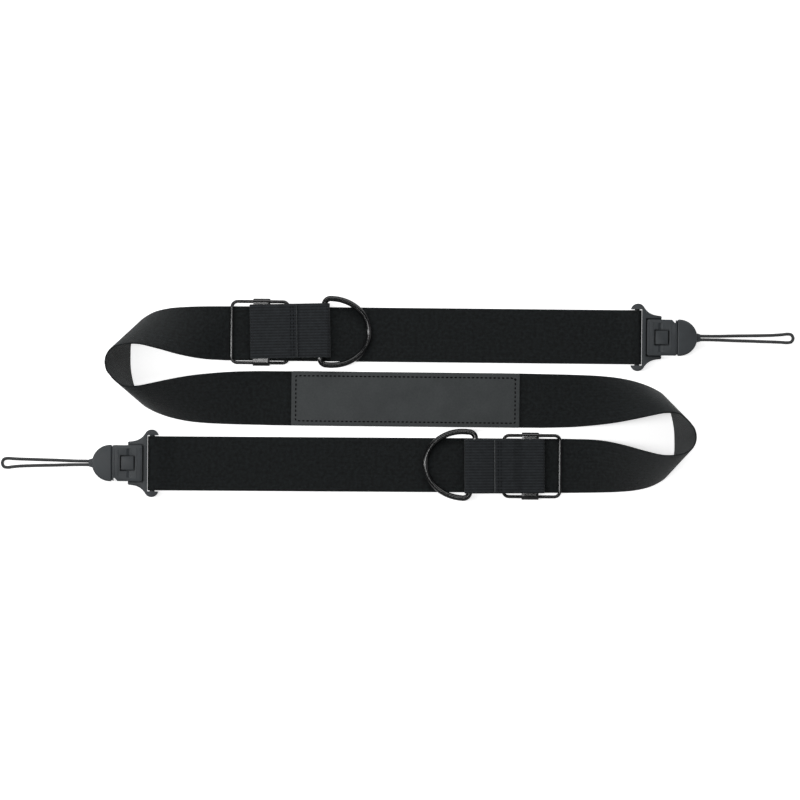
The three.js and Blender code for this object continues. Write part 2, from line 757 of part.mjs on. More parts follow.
// The round-nosed plug and the nub that the cord leaves
function bucklePlug() {
  const half = plugRadius;
  const shape = new THREE.Shape();
  shape.moveTo(plugStart, -half);
  shape.lineTo(plugStart + plugFlat, -half);
  shape.absarc(plugStart + plugFlat, 0, plugRadius, -Math.PI / 2, Math.PI / 2, false);
  shape.lineTo(plugStart, half);
  shape.closePath();
  const nose = plate(shape, restHeight, restHeight + plugThick, plugEase);
  const nub = new THREE.Shape();
  nub.moveTo(plugEnd - nubRoot, -nubWidth / 2 - nubTaper);
  nub.lineTo(plugEnd + nubLength, nubTaper - nubWidth / 2);
  nub.lineTo(plugEnd + nubLength, nubWidth / 2 - nubTaper);
  nub.lineTo(plugEnd - nubRoot, nubWidth / 2 + nubTaper);
  nub.closePath();
  const middle = restHeight + plugThick / 2;
  const z0 = middle - nubThick / 2;
  return carve([nose, plate(nub, z0, z0 + nubThick, mouldEase)]);
}

function cordLoop(end) {
  const start = plugEnd + nubLength + cordGap;
  const low = cordWire / 2 + cordLift;
  const high = restHeight + plugThick / 2;
  const points = cordRoute.map((row) => {
    const z = low + row.rise * (high - low);
    const bow = 1 + (end.cordBow - 1) * row.out;
    return new THREE.Vector3(start + row.out * end.cordReach, row.across * bow * cordWire, z);
  });
  const path = new THREE.CatmullRomCurve3(points, false, "centripetal");
  const shape = new THREE.Shape();
  for (let k = 0; k < cordSides; k++) {
    const a = (k / cordSides) * 2 * Math.PI;
    const at = [(cordWire / 2) * Math.cos(a), (cordWire / 2) * Math.sin(a)];
    if (k) shape.lineTo(...at);
    else shape.moveTo(...at);
  }
  shape.closePath();
  return new THREE.ExtrudeGeometry(shape, { steps: 76, extrudePath: path });
}

// Everything on one end of the strap, in that end's frame
function strapEnd(end) {
  const group = new THREE.Group();
  group.applyMatrix4(endMatrix(end));
  const slider = new THREE.Group();
  slider.position.set(-end.sliderBack, end.sliderAcross * sliderPlay, 0);
  const tab = new THREE.Group();
  tab.position.y = end.tabAcross * sliderPlay;
  tab.rotation.z = THREE.MathUtils.degToRad(end.tabTurn);
  const ring = new THREE.Group();
  ring.position.set(ringFromSlider + end.ringShift, end.ringAcross * ringPlay, ringHeightZ);
  const droop = Math.asin((ringHeightZ - ringRadius - layerStep * 2) / (ringDepth - ringWire));
  ring.rotation.set(0, droop, THREE.MathUtils.degToRad(end.ringTurn), "ZYX");
  ring.add(piece(end.name + "_d_ring", dRing(), "metal"));
  tab.add(piece(end.name + "_pull_tab", pullTab(end), "tab"), ring);
  slider.add(
    piece(end.name + "_slider_frame", sliderFrame(), "metal"),
    piece(end.name + "_sliding_bar", slidingBar(), "metal"),
    tab,
  );
  group.add(
    slider,
    piece(end.name + "_end_webbing", endWebbing(end), "webbing"),
    piece(end.name + "_end_adapter", endAdapter(), "plastic"),
    piece(end.name + "_buckle_socket", buckleSocket(), "plastic"),
    piece(end.name + "_release_button", releaseButton(), "plastic"),
    piece(end.name + "_buckle_plug", bucklePlug(), "plastic"),
    piece(end.name + "_cord_loop", cordLoop(end), "cord"),
  );
  return group;
}

const strap = new THREE.Group();
const pad = piece("leather_pad", leatherPad(), "leather");
pad.position.set(padCentreX, loopCentre.y, 0);
pad.rotation.z = THREE.MathUtils.degToRad(padTurn);
strap.add(piece("shoulder_webbing", shoulderWebbing(), "webbing"), pad, ...ends.map(strapEnd));

export default strap;
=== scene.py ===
import math

import bmesh
import bpy
import numpy as np
from mathutils import Matrix, Vector


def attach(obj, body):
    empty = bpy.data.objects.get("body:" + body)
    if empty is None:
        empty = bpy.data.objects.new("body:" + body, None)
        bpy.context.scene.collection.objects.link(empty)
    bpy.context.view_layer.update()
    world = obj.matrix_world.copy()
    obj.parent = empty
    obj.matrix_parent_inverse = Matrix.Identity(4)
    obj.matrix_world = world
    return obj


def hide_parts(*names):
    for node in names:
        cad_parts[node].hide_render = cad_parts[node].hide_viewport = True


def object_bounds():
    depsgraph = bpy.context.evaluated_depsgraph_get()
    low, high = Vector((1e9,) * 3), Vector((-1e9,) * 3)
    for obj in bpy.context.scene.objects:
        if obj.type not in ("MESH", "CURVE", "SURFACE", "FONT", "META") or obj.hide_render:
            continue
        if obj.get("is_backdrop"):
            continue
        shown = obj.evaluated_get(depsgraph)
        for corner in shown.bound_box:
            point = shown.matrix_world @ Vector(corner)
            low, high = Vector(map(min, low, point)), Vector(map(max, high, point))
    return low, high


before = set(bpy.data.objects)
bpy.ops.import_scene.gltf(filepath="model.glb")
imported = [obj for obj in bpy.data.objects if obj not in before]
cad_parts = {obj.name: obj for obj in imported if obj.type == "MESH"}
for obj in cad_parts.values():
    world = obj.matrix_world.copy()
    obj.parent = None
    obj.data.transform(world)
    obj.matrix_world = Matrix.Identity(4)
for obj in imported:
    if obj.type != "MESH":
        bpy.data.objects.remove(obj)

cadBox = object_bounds()
mm = 0.001  # the sizes below are millimetres, the scene is metres
sharp = {"tube": 60, "band": 70, "moulded": 32, "rib": 50, "eased": 28}  # degrees from which an edge counts
facets = {"cord": 16, "rod": 24, "ring": 28, "bar": 40, "webbing": 20, "tab": 24, "plate": 8}

# the strap's own sizes, as the frame was built
webbing = {"width": 38, "thick": 1.1, "gap": 0.3, "steps": 7}
rows = {"spacing": 46.45, "reach": 206.4, "loop": 84, "centre": (2.05, -0.7), "leftLean": 1,
        "rightLean": 0.84}
ends = {
    "right": {"side": 1, "bar": 167.6, "slant": 0.57, "inset": 108, "shift": 0.35, "slider": 0.975,
              "tab": 0.546, "tabTurn": 1.6, "slack": 0.6, "ring": -0.598, "ringTurn": -5.6, "ringShift": 0,
              "cord": 64.15, "bow": 1.2},
    "left": {"side": -1, "bar": 171.85, "slant": 0.365, "inset": 114.6, "shift": 0.06, "slider": 0.325,
             "tab": 0, "tabTurn": 0.6, "slack": 2.6, "ring": -0.391, "ringTurn": -6.5, "ringShift": -2,
             "cord": 59.9, "bow": 1.27},
}
for end in ends.values():
    lean = math.radians(end["slant"])
    side = end["side"]
    sliderX = rows["centre"][0] - side * (rows["reach"] - end["inset"])
    sliderY = rows["centre"][1] + side * (rows["spacing"] - end["shift"])
    end["back"] = side * (side * end["bar"] - sliderX) / math.cos(lean)
    place = Matrix.Translation((side * end["bar"], sliderY - side * end["back"] * math.sin(lean), 0))
    end["matrix"] = place @ Matrix.Rotation((0 if side > 0 else math.pi) - lean, 4, "Z")
    end["sliderMatrix"] = end["matrix"] @ Matrix.Translation((-end["back"], end["slider"], 0))
    end["tabMatrix"] = (end["sliderMatrix"] @ Matrix.Translation((0, end["tab"], 0))
                        @ Matrix.Rotation(math.radians(end["tabTurn"]), 4, "Z"))
print("layout ready")


# camera: straight down, 560 mm across the strap's plane
camera = {"lens": 600, "sensor": 36, "across": 0.5604, "x": 0.00164, "y": -0.0011}
cameraData = bpy.data.cameras.new("camera")
cameraData.lens = camera["lens"]
cameraData.sensor_width = camera["sensor"]
cameraObject = bpy.data.objects.new("camera", cameraData)
bpy.context.scene.collection.objects.link(cameraObject)
cameraObject.location = (camera["x"], camera["y"], camera["across"] * camera["lens"] / camera["sensor"])
bpy.context.scene.camera = cameraObject


def addObject(name, mesh):
    item = bpy.data.objects.new(name, mesh)
    bpy.context.scene.collection.objects.link(item)
    return item


def smooth(mesh, angle=None):
    mesh.polygons.foreach_set("use_smooth", [True] * len(mesh.polygons))
    if angle:
        mesh.set_sharp_from_angle(angle=math.radians(angle))
    mesh.update()


# a shader to start from: its own sockets take what is the same all over
def newMaterial(name, **sockets):
    material = bpy.data.materials.new(name)
    material.use_nodes = True
    shader = material.node_tree.nodes["Principled BSDF"]
    for key, value in sockets.items():
        shader.inputs[key.replace("_", " ")].default_value = value
    return material, material.node_tree, shader


# joins what varies over a surface to the shader
def vary(tree, shader, **outputs):
    for key, output in outputs.items():
        tree.links.new(output, shader.inputs[key.replace("_", " ")])


def grey(value):
    return (value, value, value)


def mathNode(tree, operation, first, second=None, third=None):
    node = tree.nodes.new("ShaderNodeMath")
    node.operation = operation
    for i, value in enumerate((first, second, third)):
        if value is None:
            continue
        if isinstance(value, (int, float)):
            node.inputs[i].default_value = value
        else:
            tree.links.new(value, node.inputs[i])
    return node.outputs[0]


def noiseNode(tree, coordinates, scale, detail, roughness):
    node = tree.nodes.new("ShaderNodeTexNoise")
    node.inputs["Scale"].default_value = scale
    node.inputs["Detail"].default_value = detail
    node.inputs["Roughness"].default_value = roughness
    tree.links.new(coordinates, node.inputs["Vector"])
    return node.outputs[0]


def rampNode(tree, factor, stops):
    node = tree.nodes.new("ShaderNodeValToRGB")
    ramp = node.color_ramp
    while len(ramp.elements) < len(stops):
        ramp.elements.new(0.5)
    for element, (at, colour) in zip(ramp.elements, stops):
        element.position = at
        element.color = (*colour, 1)
    tree.links.new(factor, node.inputs[0])
    return node.outputs[0]


def bumpNode(tree, height, distance, strength):
    node = tree.nodes.new("ShaderNodeBump")
    node.inputs["Distance"].default_value = distance
    node.inputs["Strength"].default_value = strength
    tree.links.new(height, node.inputs["Height"])
    return node.outputs[0]


# the band's or cord's own map, whole, across and along
def clothCoordinates(tree):
    uv = tree.nodes.new("ShaderNodeUVMap")
    uv.uv_map = "cloth"
    split = tree.nodes.new("ShaderNodeSeparateXYZ")
    tree.links.new(uv.outputs[0], split.inputs[0])
    return uv.outputs[0], split.outputs[0], split.outputs[1]


# seat-belt webbing: columns of twill that lean one way and then the other
def makeWebbing():
    weave = {"column": 2.4, "pitch": 0.95, "slope": 1.0, "dark": (0.0003, 0.0005, 0.0006),
             "light": (0.0105, 0.0145, 0.0155)}
    material, tree, shader = newMaterial(
        "webbingCloth", Roughness=0.58, Specular_IOR_Level=0.24, Sheen_Weight=0.03, Sheen_Roughness=0.3,
        Sheen_Tint=(0.72, 0.8, 0.86, 1))
    uv, across, along = clothCoordinates(tree)
    column = mathNode(tree, "DIVIDE", across, weave["column"] * mm)
    wave = mathNode(tree, "PINGPONG", column, 0.5)
    lean = mathNode(tree, "MULTIPLY", wave, 2 * weave["column"] * weave["slope"] * mm)
    phase = mathNode(tree, "ADD", along, lean)
    turns = mathNode(tree, "MULTIPLY", phase, 2 * math.pi / (weave["pitch"] * mm))
    twill = mathNode(tree, "SINE", turns)
    level = mathNode(tree, "MULTIPLY_ADD", twill, 0.5, 0.5)
    ridges = mathNode(tree, "SINE", mathNode(tree, "MULTIPLY", column, 2 * math.pi))
    height = mathNode(tree, "MULTIPLY_ADD", ridges, 0.18, level)
    cloudy = noiseNode(tree, uv, 420, 3, 0.55)
    worn = mathNode(tree, "MULTIPLY", cloudy, 0.7)
    shade = mathNode(tree, "MULTIPLY_ADD", level, 0.3, worn)
    colour = rampNode(tree, shade, [(0.36, weave["dark"]), (0.66, weave["light"])])
    vary(tree, shader, Base_Color=colour, Normal=bumpNode(tree, height, 0.0002, 1))
    return material


# ribbed webbing of the pull tabs: fine ribs along the tab, crossed by its picks
def makeRibbed():
    ribs = {"pitch": 2, "picks": 0.95, "dark": (0.0012, 0.0018, 0.0024),
            "light": (0.025, 0.0295, 0.034)}
    material, tree, shader = newMaterial(
        "ribbedCloth", Roughness=0.7, Specular_IOR_Level=0.22, Sheen_Weight=0.08, Sheen_Roughness=0.45)
    uv, across, along = clothCoordinates(tree)
    turns = mathNode(tree, "MULTIPLY", across, 2 * math.pi / (ribs["pitch"] * mm))
    rib = mathNode(tree, "MULTIPLY_ADD", mathNode(tree, "SINE", turns), 0.5, 0.5)
    shift = mathNode(tree, "MULTIPLY_ADD", rib, 0.6 * ribs["picks"] * mm, along)
    crossed = mathNode(tree, "MULTIPLY", shift, 2 * math.pi / (ribs["picks"] * mm))
    picks = mathNode(tree, "SINE", crossed)
    height = mathNode(tree, "MULTIPLY_ADD", picks, 0.6, rib)
    cloudy = noiseNode(tree, uv, 260, 3, 0.6)
    worn = mathNode(tree, "MULTIPLY", cloudy, 0.5)
    weave = mathNode(tree, "MULTIPLY_ADD", picks, 0.24, worn)
    shade = mathNode(tree, "MULTIPLY_ADD", rib, 0.34, weave)
    colour = rampNode(tree, shade, [(0.12, ribs["dark"]), (0.85, ribs["light"])])
    vary(tree, shader, Base_Color=colour, Normal=bumpNode(tree, height, 0.0002, 0.7))
    return material


# a surface mottled by one noise, as a thread is, or a heat-cut edge whose lighter tone is partly a painted
# highlight of its lit rim
def makeMottled(name, grain, stops, relief, **sockets):
    material, tree, shader = newMaterial(name, **sockets)
    place = tree.nodes.new("ShaderNodeTexCoord").outputs["Object"]
    mottle = noiseNode(tree, place, *grain)
    colour = rampNode(tree, mottle, stops)
    vary(tree, shader, Base_Color=colour, Normal=bumpNode(tree, mottle, *relief))
    return material


# smooth dyed leather with a fine pebble
def makeLeather():
    hide = {"grain": 900, "dark": (0.024, 0.0275, 0.0285), "light": (0.044, 0.0485, 0.05)}
    material, tree, shader = newMaterial("padLeather", Specular_IOR_Level=0.3)
    place = tree.nodes.new("ShaderNodeTexCoord").outputs["Object"]
    cells = tree.nodes.new("ShaderNodeTexVoronoi")
    cells.feature = "SMOOTH_F1"
    cells.inputs["Scale"].default_value = hide["grain"]
    tree.links.new(place, cells.inputs["Vector"])
    cloudy = noiseNode(tree, place, 55, 5, 0.6)
    fine = noiseNode(tree, place, 700, 3, 0.6)
    worn = mathNode(tree, "MULTIPLY", cloudy, 0.6)
    shade = mathNode(tree, "MULTIPLY_ADD", fine, 0.4, worn)
    colour = rampNode(tree, shade, [(0.3, hide["dark"]), (0.72, hide["light"])])
    rough = rampNode(tree, shade, [(0.2, grey(0.5)), (0.85, grey(0.68))])
    height = mathNode(tree, "MULTIPLY_ADD", fine, 0.5, cells.outputs["Distance"])
    relief = bumpNode(tree, height, 0.00009, 0.55)
    vary(tree, shader, Base_Color=colour, Roughness=rough, Normal=relief)
    return material


# black lacquered wire and plate, a little rubbed
def makeMetal():
    material, tree, shader = newMaterial("lacqueredMetal", Specular_IOR_Level=0.42)
    place = tree.nodes.new("ShaderNodeTexCoord").outputs["Object"]
    rub = noiseNode(tree, place, 120, 5, 0.65)
    speck = noiseNode(tree, place, 1500, 2, 0.5)
    colour = rampNode(tree, rub,
                      [(0.35, (0.002, 0.0022, 0.0024)), (0.75, (0.007, 0.0075, 0.008))])
    rough = rampNode(tree, rub, [(0.3, grey(0.15)), (0.8, grey(0.24))])
    relief = bumpNode(tree, speck, 0.00001, 0.15)
    vary(tree, shader, Base_Color=colour, Roughness=rough, Normal=relief)
    return material


# moulded plastic with a fine spark finish
def makePlastic():
    material, tree, shader = newMaterial("mouldedPlastic", Specular_IOR_Level=0.5)
    place = tree.nodes.new("ShaderNodeTexCoord").outputs["Object"]
    spark = noiseNode(tree, place, 2600, 3, 0.6)
    cloudy = noiseNode(tree, place, 90, 4, 0.6)
    worn = mathNode(tree, "MULTIPLY", cloudy, 0.65)
    shade = mathNode(tree, "MULTIPLY_ADD", spark, 0.35, worn)
    colour = rampNode(tree, shade,
                      [(0.3, (0.014, 0.0175, 0.0205)), (0.75, (0.028, 0.034, 0.039))])
    rough = rampNode(tree, shade, [(0.25, grey(0.42)), (0.8, grey(0.58))])
    relief = bumpNode(tree, spark, 0.00003, 0.5)
    vary(tree, shader, Base_Color=colour, Roughness=rough, Normal=relief)
    return material


# braided cord: two sets of strands that cross round it
def makeBraid():
    braid = {"strands": 6, "lay": 2.2, "dark": (0.008, 0.0085, 0.009), "light": (0.034, 0.036, 0.038)}
    material, tree, shader = newMaterial("braidedCord", Roughness=0.6, Sheen_Weight=0.08)
    uv, around, along = clothCoordinates(tree)
    lap = mathNode(tree, "MULTIPLY", around, 2 * math.pi * braid["strands"])
    run = mathNode(tree, "MULTIPLY", along, 2 * math.pi / (braid["lay"] * mm))
    left = mathNode(tree, "SINE", mathNode(tree, "ADD", lap, run))
    right = mathNode(tree, "SINE", mathNode(tree, "SUBTRACT", lap, run))
    crossing = mathNode(tree, "MULTIPLY", left, right)
    height = mathNode(tree, "MULTIPLY_ADD", crossing, 0.5, 0.5)
    colour = rampNode(tree, height, [(0.1, braid["dark"]), (0.9, braid["light"])])
    vary(tree, shader, Base_Color=colour, Normal=bumpNode(tree, height, 0.00012, 0.8))
    return material


webbingCloth = makeWebbing()
ribbedCloth = makeRibbed()
# the hem's heat-cut edge, lighter than the tab: partly its own fused finish, partly a painted highlight
# where the edge catches the light
hemHighlightCloth = makeMottled("hemHighlightCloth", (900, 4, 0.6),
                         [(0.35, (0.006, 0.007, 0.008)), (0.7, (0.05, 0.054, 0.058))],
                         (0.0001, 0.7), Roughness=0.45, Specular_IOR_Level=0.5)
padLeather = makeLeather()
lacquered = makeMetal()
plastic = makePlastic()
braid = makeBraid()
thread = makeMottled("sewingThread", (3500, 2, 0.6),
                     [(0.3, (0.0006, 0.0006, 0.0007)), (0.8, (0.004, 0.0042, 0.0045))],
                     (0.00004, 0.6), Roughness=0.6, Specular_IOR_Level=0.1)
print("materials ready")


# the mesh of a round tube along points in metres, with its lap and length as the cloth map
def tubeMesh(name, points, radius, sides, closed=False):
    line = [Vector(p) for p in points]
    count = len(line)
    tangents = []
    for i in range(count):
        ahead = line[(i + 1) % count] if closed or i < count - 1 else line[i]
        behind = line[i - 1] if closed or i > 0 else line[i]
        tangents.append((ahead - behind).normalized())
    normal = tangents[0].orthogonal().normalized()
    frames = []
    for i in range(count):
        normal = (normal - tangents[i] * normal.dot(tangents[i])).normalized()
        frames.append((normal.copy(), tangents[i].cross(normal)))
    twist = 0.0
    if closed:  # shares out the turn left over after one lap
        last = (normal - tangents[0] * normal.dot(tangents[0])).normalized()
        twist = math.atan2(last.dot(frames[0][1]), last.dot(frames[0][0]))
    verts = []
    runs = [0.0]
    for i, point in enumerate(line):
        first, second = frames[i]
        for k in range(sides):
            a = 2 * math.pi * k / sides - twist * i / count
            verts.append(point + (first * math.cos(a) + second * math.sin(a)) * radius)
        runs.append(runs[-1] + (line[(i + 1) % count] - point).length)
    faces = []
    uvs = []
    for i in range(count if closed else count - 1):
        j = (i + 1) % count
        for k in range(sides):
            n = (k + 1) % sides
            faces.append((i * sides + k, i * sides + n, j * sides + n, j * sides + k))
            u0, u1 = k / sides, (k + 1) / sides
            uvs += [(u0, runs[i]), (u1, runs[i]), (u1, runs[i + 1]), (u0, runs[i + 1])]
    if not closed:
        faces.append(tuple(reversed(range(sides))))
        faces.append(tuple(range((count - 1) * sides, count * sides)))
        uvs += [(0, 0)] * (2 * sides)
    mesh = bpy.data.meshes.new(name)
    mesh.from_pydata(verts, [], faces)
    layer = mesh.uv_layers.new(name="cloth")
    layer.data.foreach_set("uv", np.array(uvs, dtype=float).ravel())
    smooth(mesh, sharp["tube"])
    return mesh


# a point on a centripetal Catmull-Rom line, t from 0 to 1
def onSpline(points, t):
    spans = len(points) - 1
    i = min(int(spans * t), spans - 1)
    w = spans * t - i
    p1, p2 = points[i], points[i + 1]
    p0 = points[i - 1] if i > 0 else 2 * points[0] - points[1]
    p3 = points[i + 2] if i + 2 <= spans else 2 * points[-1] - points[-2]
    d1 = max(np.linalg.norm(p2 - p1) ** 0.5, 1e-4)
    d0 = np.linalg.norm(p1 - p0) ** 0.5 or d1
    d2 = np.linalg.norm(p3 - p2) ** 0.5 or d1
    m1 = ((p1 - p0) / d0 - (p2 - p0) / (d0 + d1) + (p2 - p1) / d1) * d1
    m2 = ((p2 - p1) / d1 - (p3 - p1) / (d1 + d2) + (p3 - p2) / d2) * d1
    return (p1 + m1 * w + (-3 * p1 + 3 * p2 - 2 * m1 - m2) * w**2
            + (2 * p1 - 2 * p2 + m1 + m2) * w**3)


# cord loops first: the route from the plug's nub, out along one strand, round and back
cordLoop = {"wire": 2, "thick": 2.2, "start": 45.2, "root": 43.6, "low": 1.05, "high": 4.7, "steps": 8}
cordRoute = [  # out is a share of the reach, across of the wire, rise of the nub's height
    (0, 0.62, 1), (0.043, 0.62, 0.974), (0.106, 0.62, 0.714), (0.183, 0.646, 0.273), (0.276, 0.728, 0.039),
    (0.385, 0.809, 0), (0.509, 0.862, 0), (0.665, 0.943, 0), (0.789, 1.051, 0), (0.882, 1.24, 0),
    (0.936, 1.401, 0), (0.98, 1.185, 0), (1, 0.161, 0), (0.98, -0.862, 0), (0.936, -1.131, 0),
    (0.882, -1.077, 0), (0.789, -0.996, 0), (0.665, -0.943, 0), (0.509, -0.862, 0), (0.385, -0.809, 0),
    (0.276, -0.728, 0.039), (0.183, -0.646, 0.273), (0.106, -0.62, 0.714), (0.043, -0.62, 0.974),
    (0, -0.62, 1),
]


def makeCord(name, end):
    low, high, wire = cordLoop["low"], cordLoop["high"], cordLoop["wire"]
    knots = []
    for out, across, rise in cordRoute:
        y = across * wire * (1 + (end["bow"] - 1) * out)
        knots.append(np.array((cordLoop["start"] + out * end["cord"], y, low + rise * (high - low))))
    root = cordRoute[0][1] * wire  # both strands start inside the nub
    knots = [np.array((cordLoop["root"], root, high))] + knots + [np.array((cordLoop["root"], -root, high))]
    steps = (len(knots) - 1) * cordLoop["steps"]
    path = [end["matrix"] @ Vector(onSpline(knots, i / steps)) * mm for i in range(steps + 1)]
    mesh = tubeMesh(name + "CordLoop", path, cordLoop["thick"] / 2 * mm, facets["cord"])
    mesh.materials.append(braid)
    cord = addObject(name + "CordLoop", mesh)
    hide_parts(name + "_cord_loop")
    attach(cord, name + "_connector")
    length = sum((b - a).length for a, b in zip(path, path[1:]))
    print(name, "cord", round(length, 4))


for name, end in ends.items():
    makeCord(name, end)
print("cords ready")


# a band of cloth through pairs of edge points in millimetres, with rounded selvedges
def bandMesh(name, pairs, thick, columns, edgeSteps=5):
    pairs = np.array(pairs, dtype=float)
    count = len(pairs)
    middle = pairs.mean(axis=1)
    ahead = middle[np.minimum(np.arange(count) + 1, count - 1)]
    behind = middle[np.maximum(np.arange(count) - 1, 0)]
    acrossWay = pairs[:, 1] - pairs[:, 0]
    width = np.linalg.norm(acrossWay, axis=1)
    out = np.cross(ahead - behind, acrossWay)
    out /= np.linalg.norm(out, axis=1)[:, None]
    half = thick / 2
    inset = half / width.mean()
    rounding = np.linspace(0, math.pi, edgeSteps + 2)[1:-1]
    profile = [(inset + (1 - 2 * inset) * c / columns, 1.0) for c in range(columns + 1)]
    profile += [(1 - inset + inset * math.sin(a), math.cos(a)) for a in rounding]
    profile += [(s, -1.0) for s, h in reversed(profile[: columns + 1])]
    profile += [(inset - inset * math.sin(a), -math.cos(a)) for a in rounding]
    sides = len(profile)
    share = np.array([s for s, h in profile])
    lift = np.array([h for s, h in profile])
    points = pairs[:, None, 0] + acrossWay[:, None] * share[None, :, None]
    points = points + out[:, None] * (lift * half)[None, :, None]
    verts = (points * mm).reshape(-1, 3)
    runs = np.concatenate([[0], np.cumsum(np.linalg.norm(np.diff(middle, axis=0), axis=1))]) * mm
    uAt = share * width.mean() * mm
    faces = []
    uvs = []
    for i in range(count - 1):
        for k in range(sides):
            n = (k + 1) % sides
            faces.append((i * sides + k, (i + 1) * sides + k, (i + 1) * sides + n, i * sides + n))
            uvs += [(uAt[k], runs[i]), (uAt[k], runs[i + 1]), (uAt[n], runs[i + 1]), (uAt[n], runs[i])]
    faces.append(tuple(range(sides)))
    faces.append(tuple(reversed(range((count - 1) * sides, count * sides))))
    uvs += [(uAt[k], runs[0]) for k in range(sides)]
    uvs += [(uAt[k], runs[-1]) for k in reversed(range(sides))]
    mesh = bpy.data.meshes.new(name)
    mesh.from_pydata(verts.tolist(), [], faces)
    layer = mesh.uv_layers.new(name="cloth")
    layer.data.foreach_set("uv", np.array(uvs, dtype=float).ravel())
    check = bmesh.new()
    check.from_mesh(mesh)
    if check.calc_volume(signed=True) < 0:
        bmesh.ops.reverse_faces(check, faces=check.faces)
        check.to_mesh(mesh)
    check.free()
    smooth(mesh, sharp["band"])
    return mesh, float(runs[-1])


# a side-view path with rounded inner corners and its long runs cut up, each knot x, z and radius
def roundedPath(knots, steps=10, longest=4.0):
    points = []
    for i, knot in enumerate(knots):
        here = np.array(knot[:2], dtype=float)
        radius = knot[2] if len(knot) > 2 else 0
        if not radius or i in (0, len(knots) - 1):
            points.append(here)
            continue
        back = np.array(knots[i - 1][:2]) - here
        ahead = np.array(knots[i + 1][:2]) - here
        back /= np.linalg.norm(back)
        ahead /= np.linalg.norm(ahead)
        half = math.acos(max(-1, min(1, back @ ahead))) / 2
        middle = (back + ahead) / np.linalg.norm(back + ahead)
        centre = here + middle * radius / math.sin(half)
        start = here + back * radius / math.tan(half) - centre
        stop = here + ahead * radius / math.tan(half) - centre
        sweep = math.atan2(start[0] * stop[1] - start[1] * stop[0], start @ stop)
        for k in range(steps + 1):
            a = sweep * k / steps
            points.append(centre + np.array((start[0] * math.cos(a) - start[1] * math.sin(a),
                                             start[0] * math.sin(a) + start[1] * math.cos(a))))
    filled = [points[0]]
    for a, b in zip(points, points[1:]):
        gap = np.linalg.norm(b - a)
        if gap < 1e-6:
            continue
        cuts = max(1, math.ceil(gap / longest))
        filled += [a + (b - a) * c / cuts for c in range(1, cuts + 1)]
    return filled


# the pairs of edge points of a strip of a given width, centred on an end's own line
def stripPairs(knots, width, matrix):
    return [[matrix @ Vector((x, s * width / 2, z)) for s in (-1, 1)] for x, z in roundedPath(knots)]


# heights of the layers at the slider, the ring and the bar
slider = {"length": 42, "width": 45.2, "rod": 2.3, "corner": 4, "plate": 12, "plateThick": 0.8,
          "plateShift": 1, "curl": 0.6}
tab = {"width": 38, "thick": 1.2, "hem": 5.8, "lift": 0.25, "tail": 3.6, "flat": 3.5, "ramp": 9, "bend": 6}
ring = {"wire": 4, "height": 50.6, "depth": 37, "corner": 4.5, "shoulder": 0.19, "fromSlider": 43.5,
        "slack": 2.2}
bar = {"wire": 3.5, "shelf": 3, "ramp": 8, "rodBend": 3, "rampBend": 6, "barRamp": 12.5, "barRampBend": 10,
       "lead": 3.5, "bend": 4}
gap, cloth = webbing["gap"], webbing["thick"]
floorLayer = cloth / 2
upperLayer = floorLayer + cloth + gap
rodHeight = cloth + gap + slider["rod"] / 2
overRod = rodHeight + slider["rod"] / 2 + gap + cloth / 2
plateBottom = rodHeight + slider["rod"] / 2 + gap
underPlate = plateBottom - gap - tab["thick"] / 2
overPlate = plateBottom + slider["plateThick"] + gap + tab["thick"] / 2
underHigh = overRod + cloth / 2 + gap + tab["thick"] / 2
middleHigh = underHigh + tab["thick"] + gap
topHigh = middleHigh + tab["thick"] + gap
underRing = upperLayer + cloth / 2 + gap + tab["thick"] / 2
ringHeight = underRing + tab["thick"] / 2 + gap + ring["wire"] / 2
overRing = ringHeight + ring["wire"] / 2 + gap + tab["thick"] / 2
barHeight = cloth + gap + bar["wire"] / 2
barWrap = bar["wire"] / 2 + gap + cloth / 2
farRod = slider["length"] / 2 - slider["rod"] / 2

# rulings of a standing loop, as the frame has them: back, cross, lead, inward, rise
loopRulings = [
    (0.818, 0.002, 0.037, 0.969, 0.226), (0.668, 0.007, 0.129, 0.877, 0.434),
    (0.518, 0.021, 0.221, 0.728, 0.618), (0.41, 0.049, 0.332, 0.589, 0.724),
    (0.343, 0.085, 0.461, 0.527, 0.776), (0.293, 0.124, 0.525, 0.505, 0.816),
    (0.247, 0.187, 0.516, 0.481, 0.868), (0.21, 0.299, 0.464, 0.354, 0.903),
    (0.202, 0.415, 0.438, 0.184, 0.913), (0.208, 0.548, 0.42, -0.018, 0.913),
    (0.242, 0.685, 0.449, -0.263, 0.884), (0.302, 0.805, 0.516, -0.455, 0.821),
    (0.377, 0.857, 0.525, -0.449, 0.771), (0.468, 0.899, 0.479, -0.523, 0.711),
    (0.568, 0.931, 0.442, -0.643, 0.626), (0.685, 0.955, 0.368, -0.768, 0.516),
    (0.835, 0.971, 0.295, -0.877, 0.374), (1.052, 0.981, 0.147, -0.963, 0.189),
    (1.26, 0.986, 0.05, -0.992, 0.04), (1.43, 0.99, 0, -1, 0),
]


# edge points of one row's slider end: over the far rod, down to the floor and under the near rod
def rowEdges(end):
    shelf = farRod - end["back"]
    rod = slider["rod"] / 2
    knots = [(shelf, overRod), (shelf - rod, overRod, bar["rodBend"]),
             (shelf - rod - bar["ramp"], floorLayer, bar["rodBend"]),
             (-end["back"] - slider["length"] / 2 - bar["shelf"], floorLayer)]
    half = webbing["width"] / 2
    return [[np.array(end["matrix"] @ Vector((x, s * half, z))) for s in (1, -1)]
            for x, z in roundedPath(knots)]


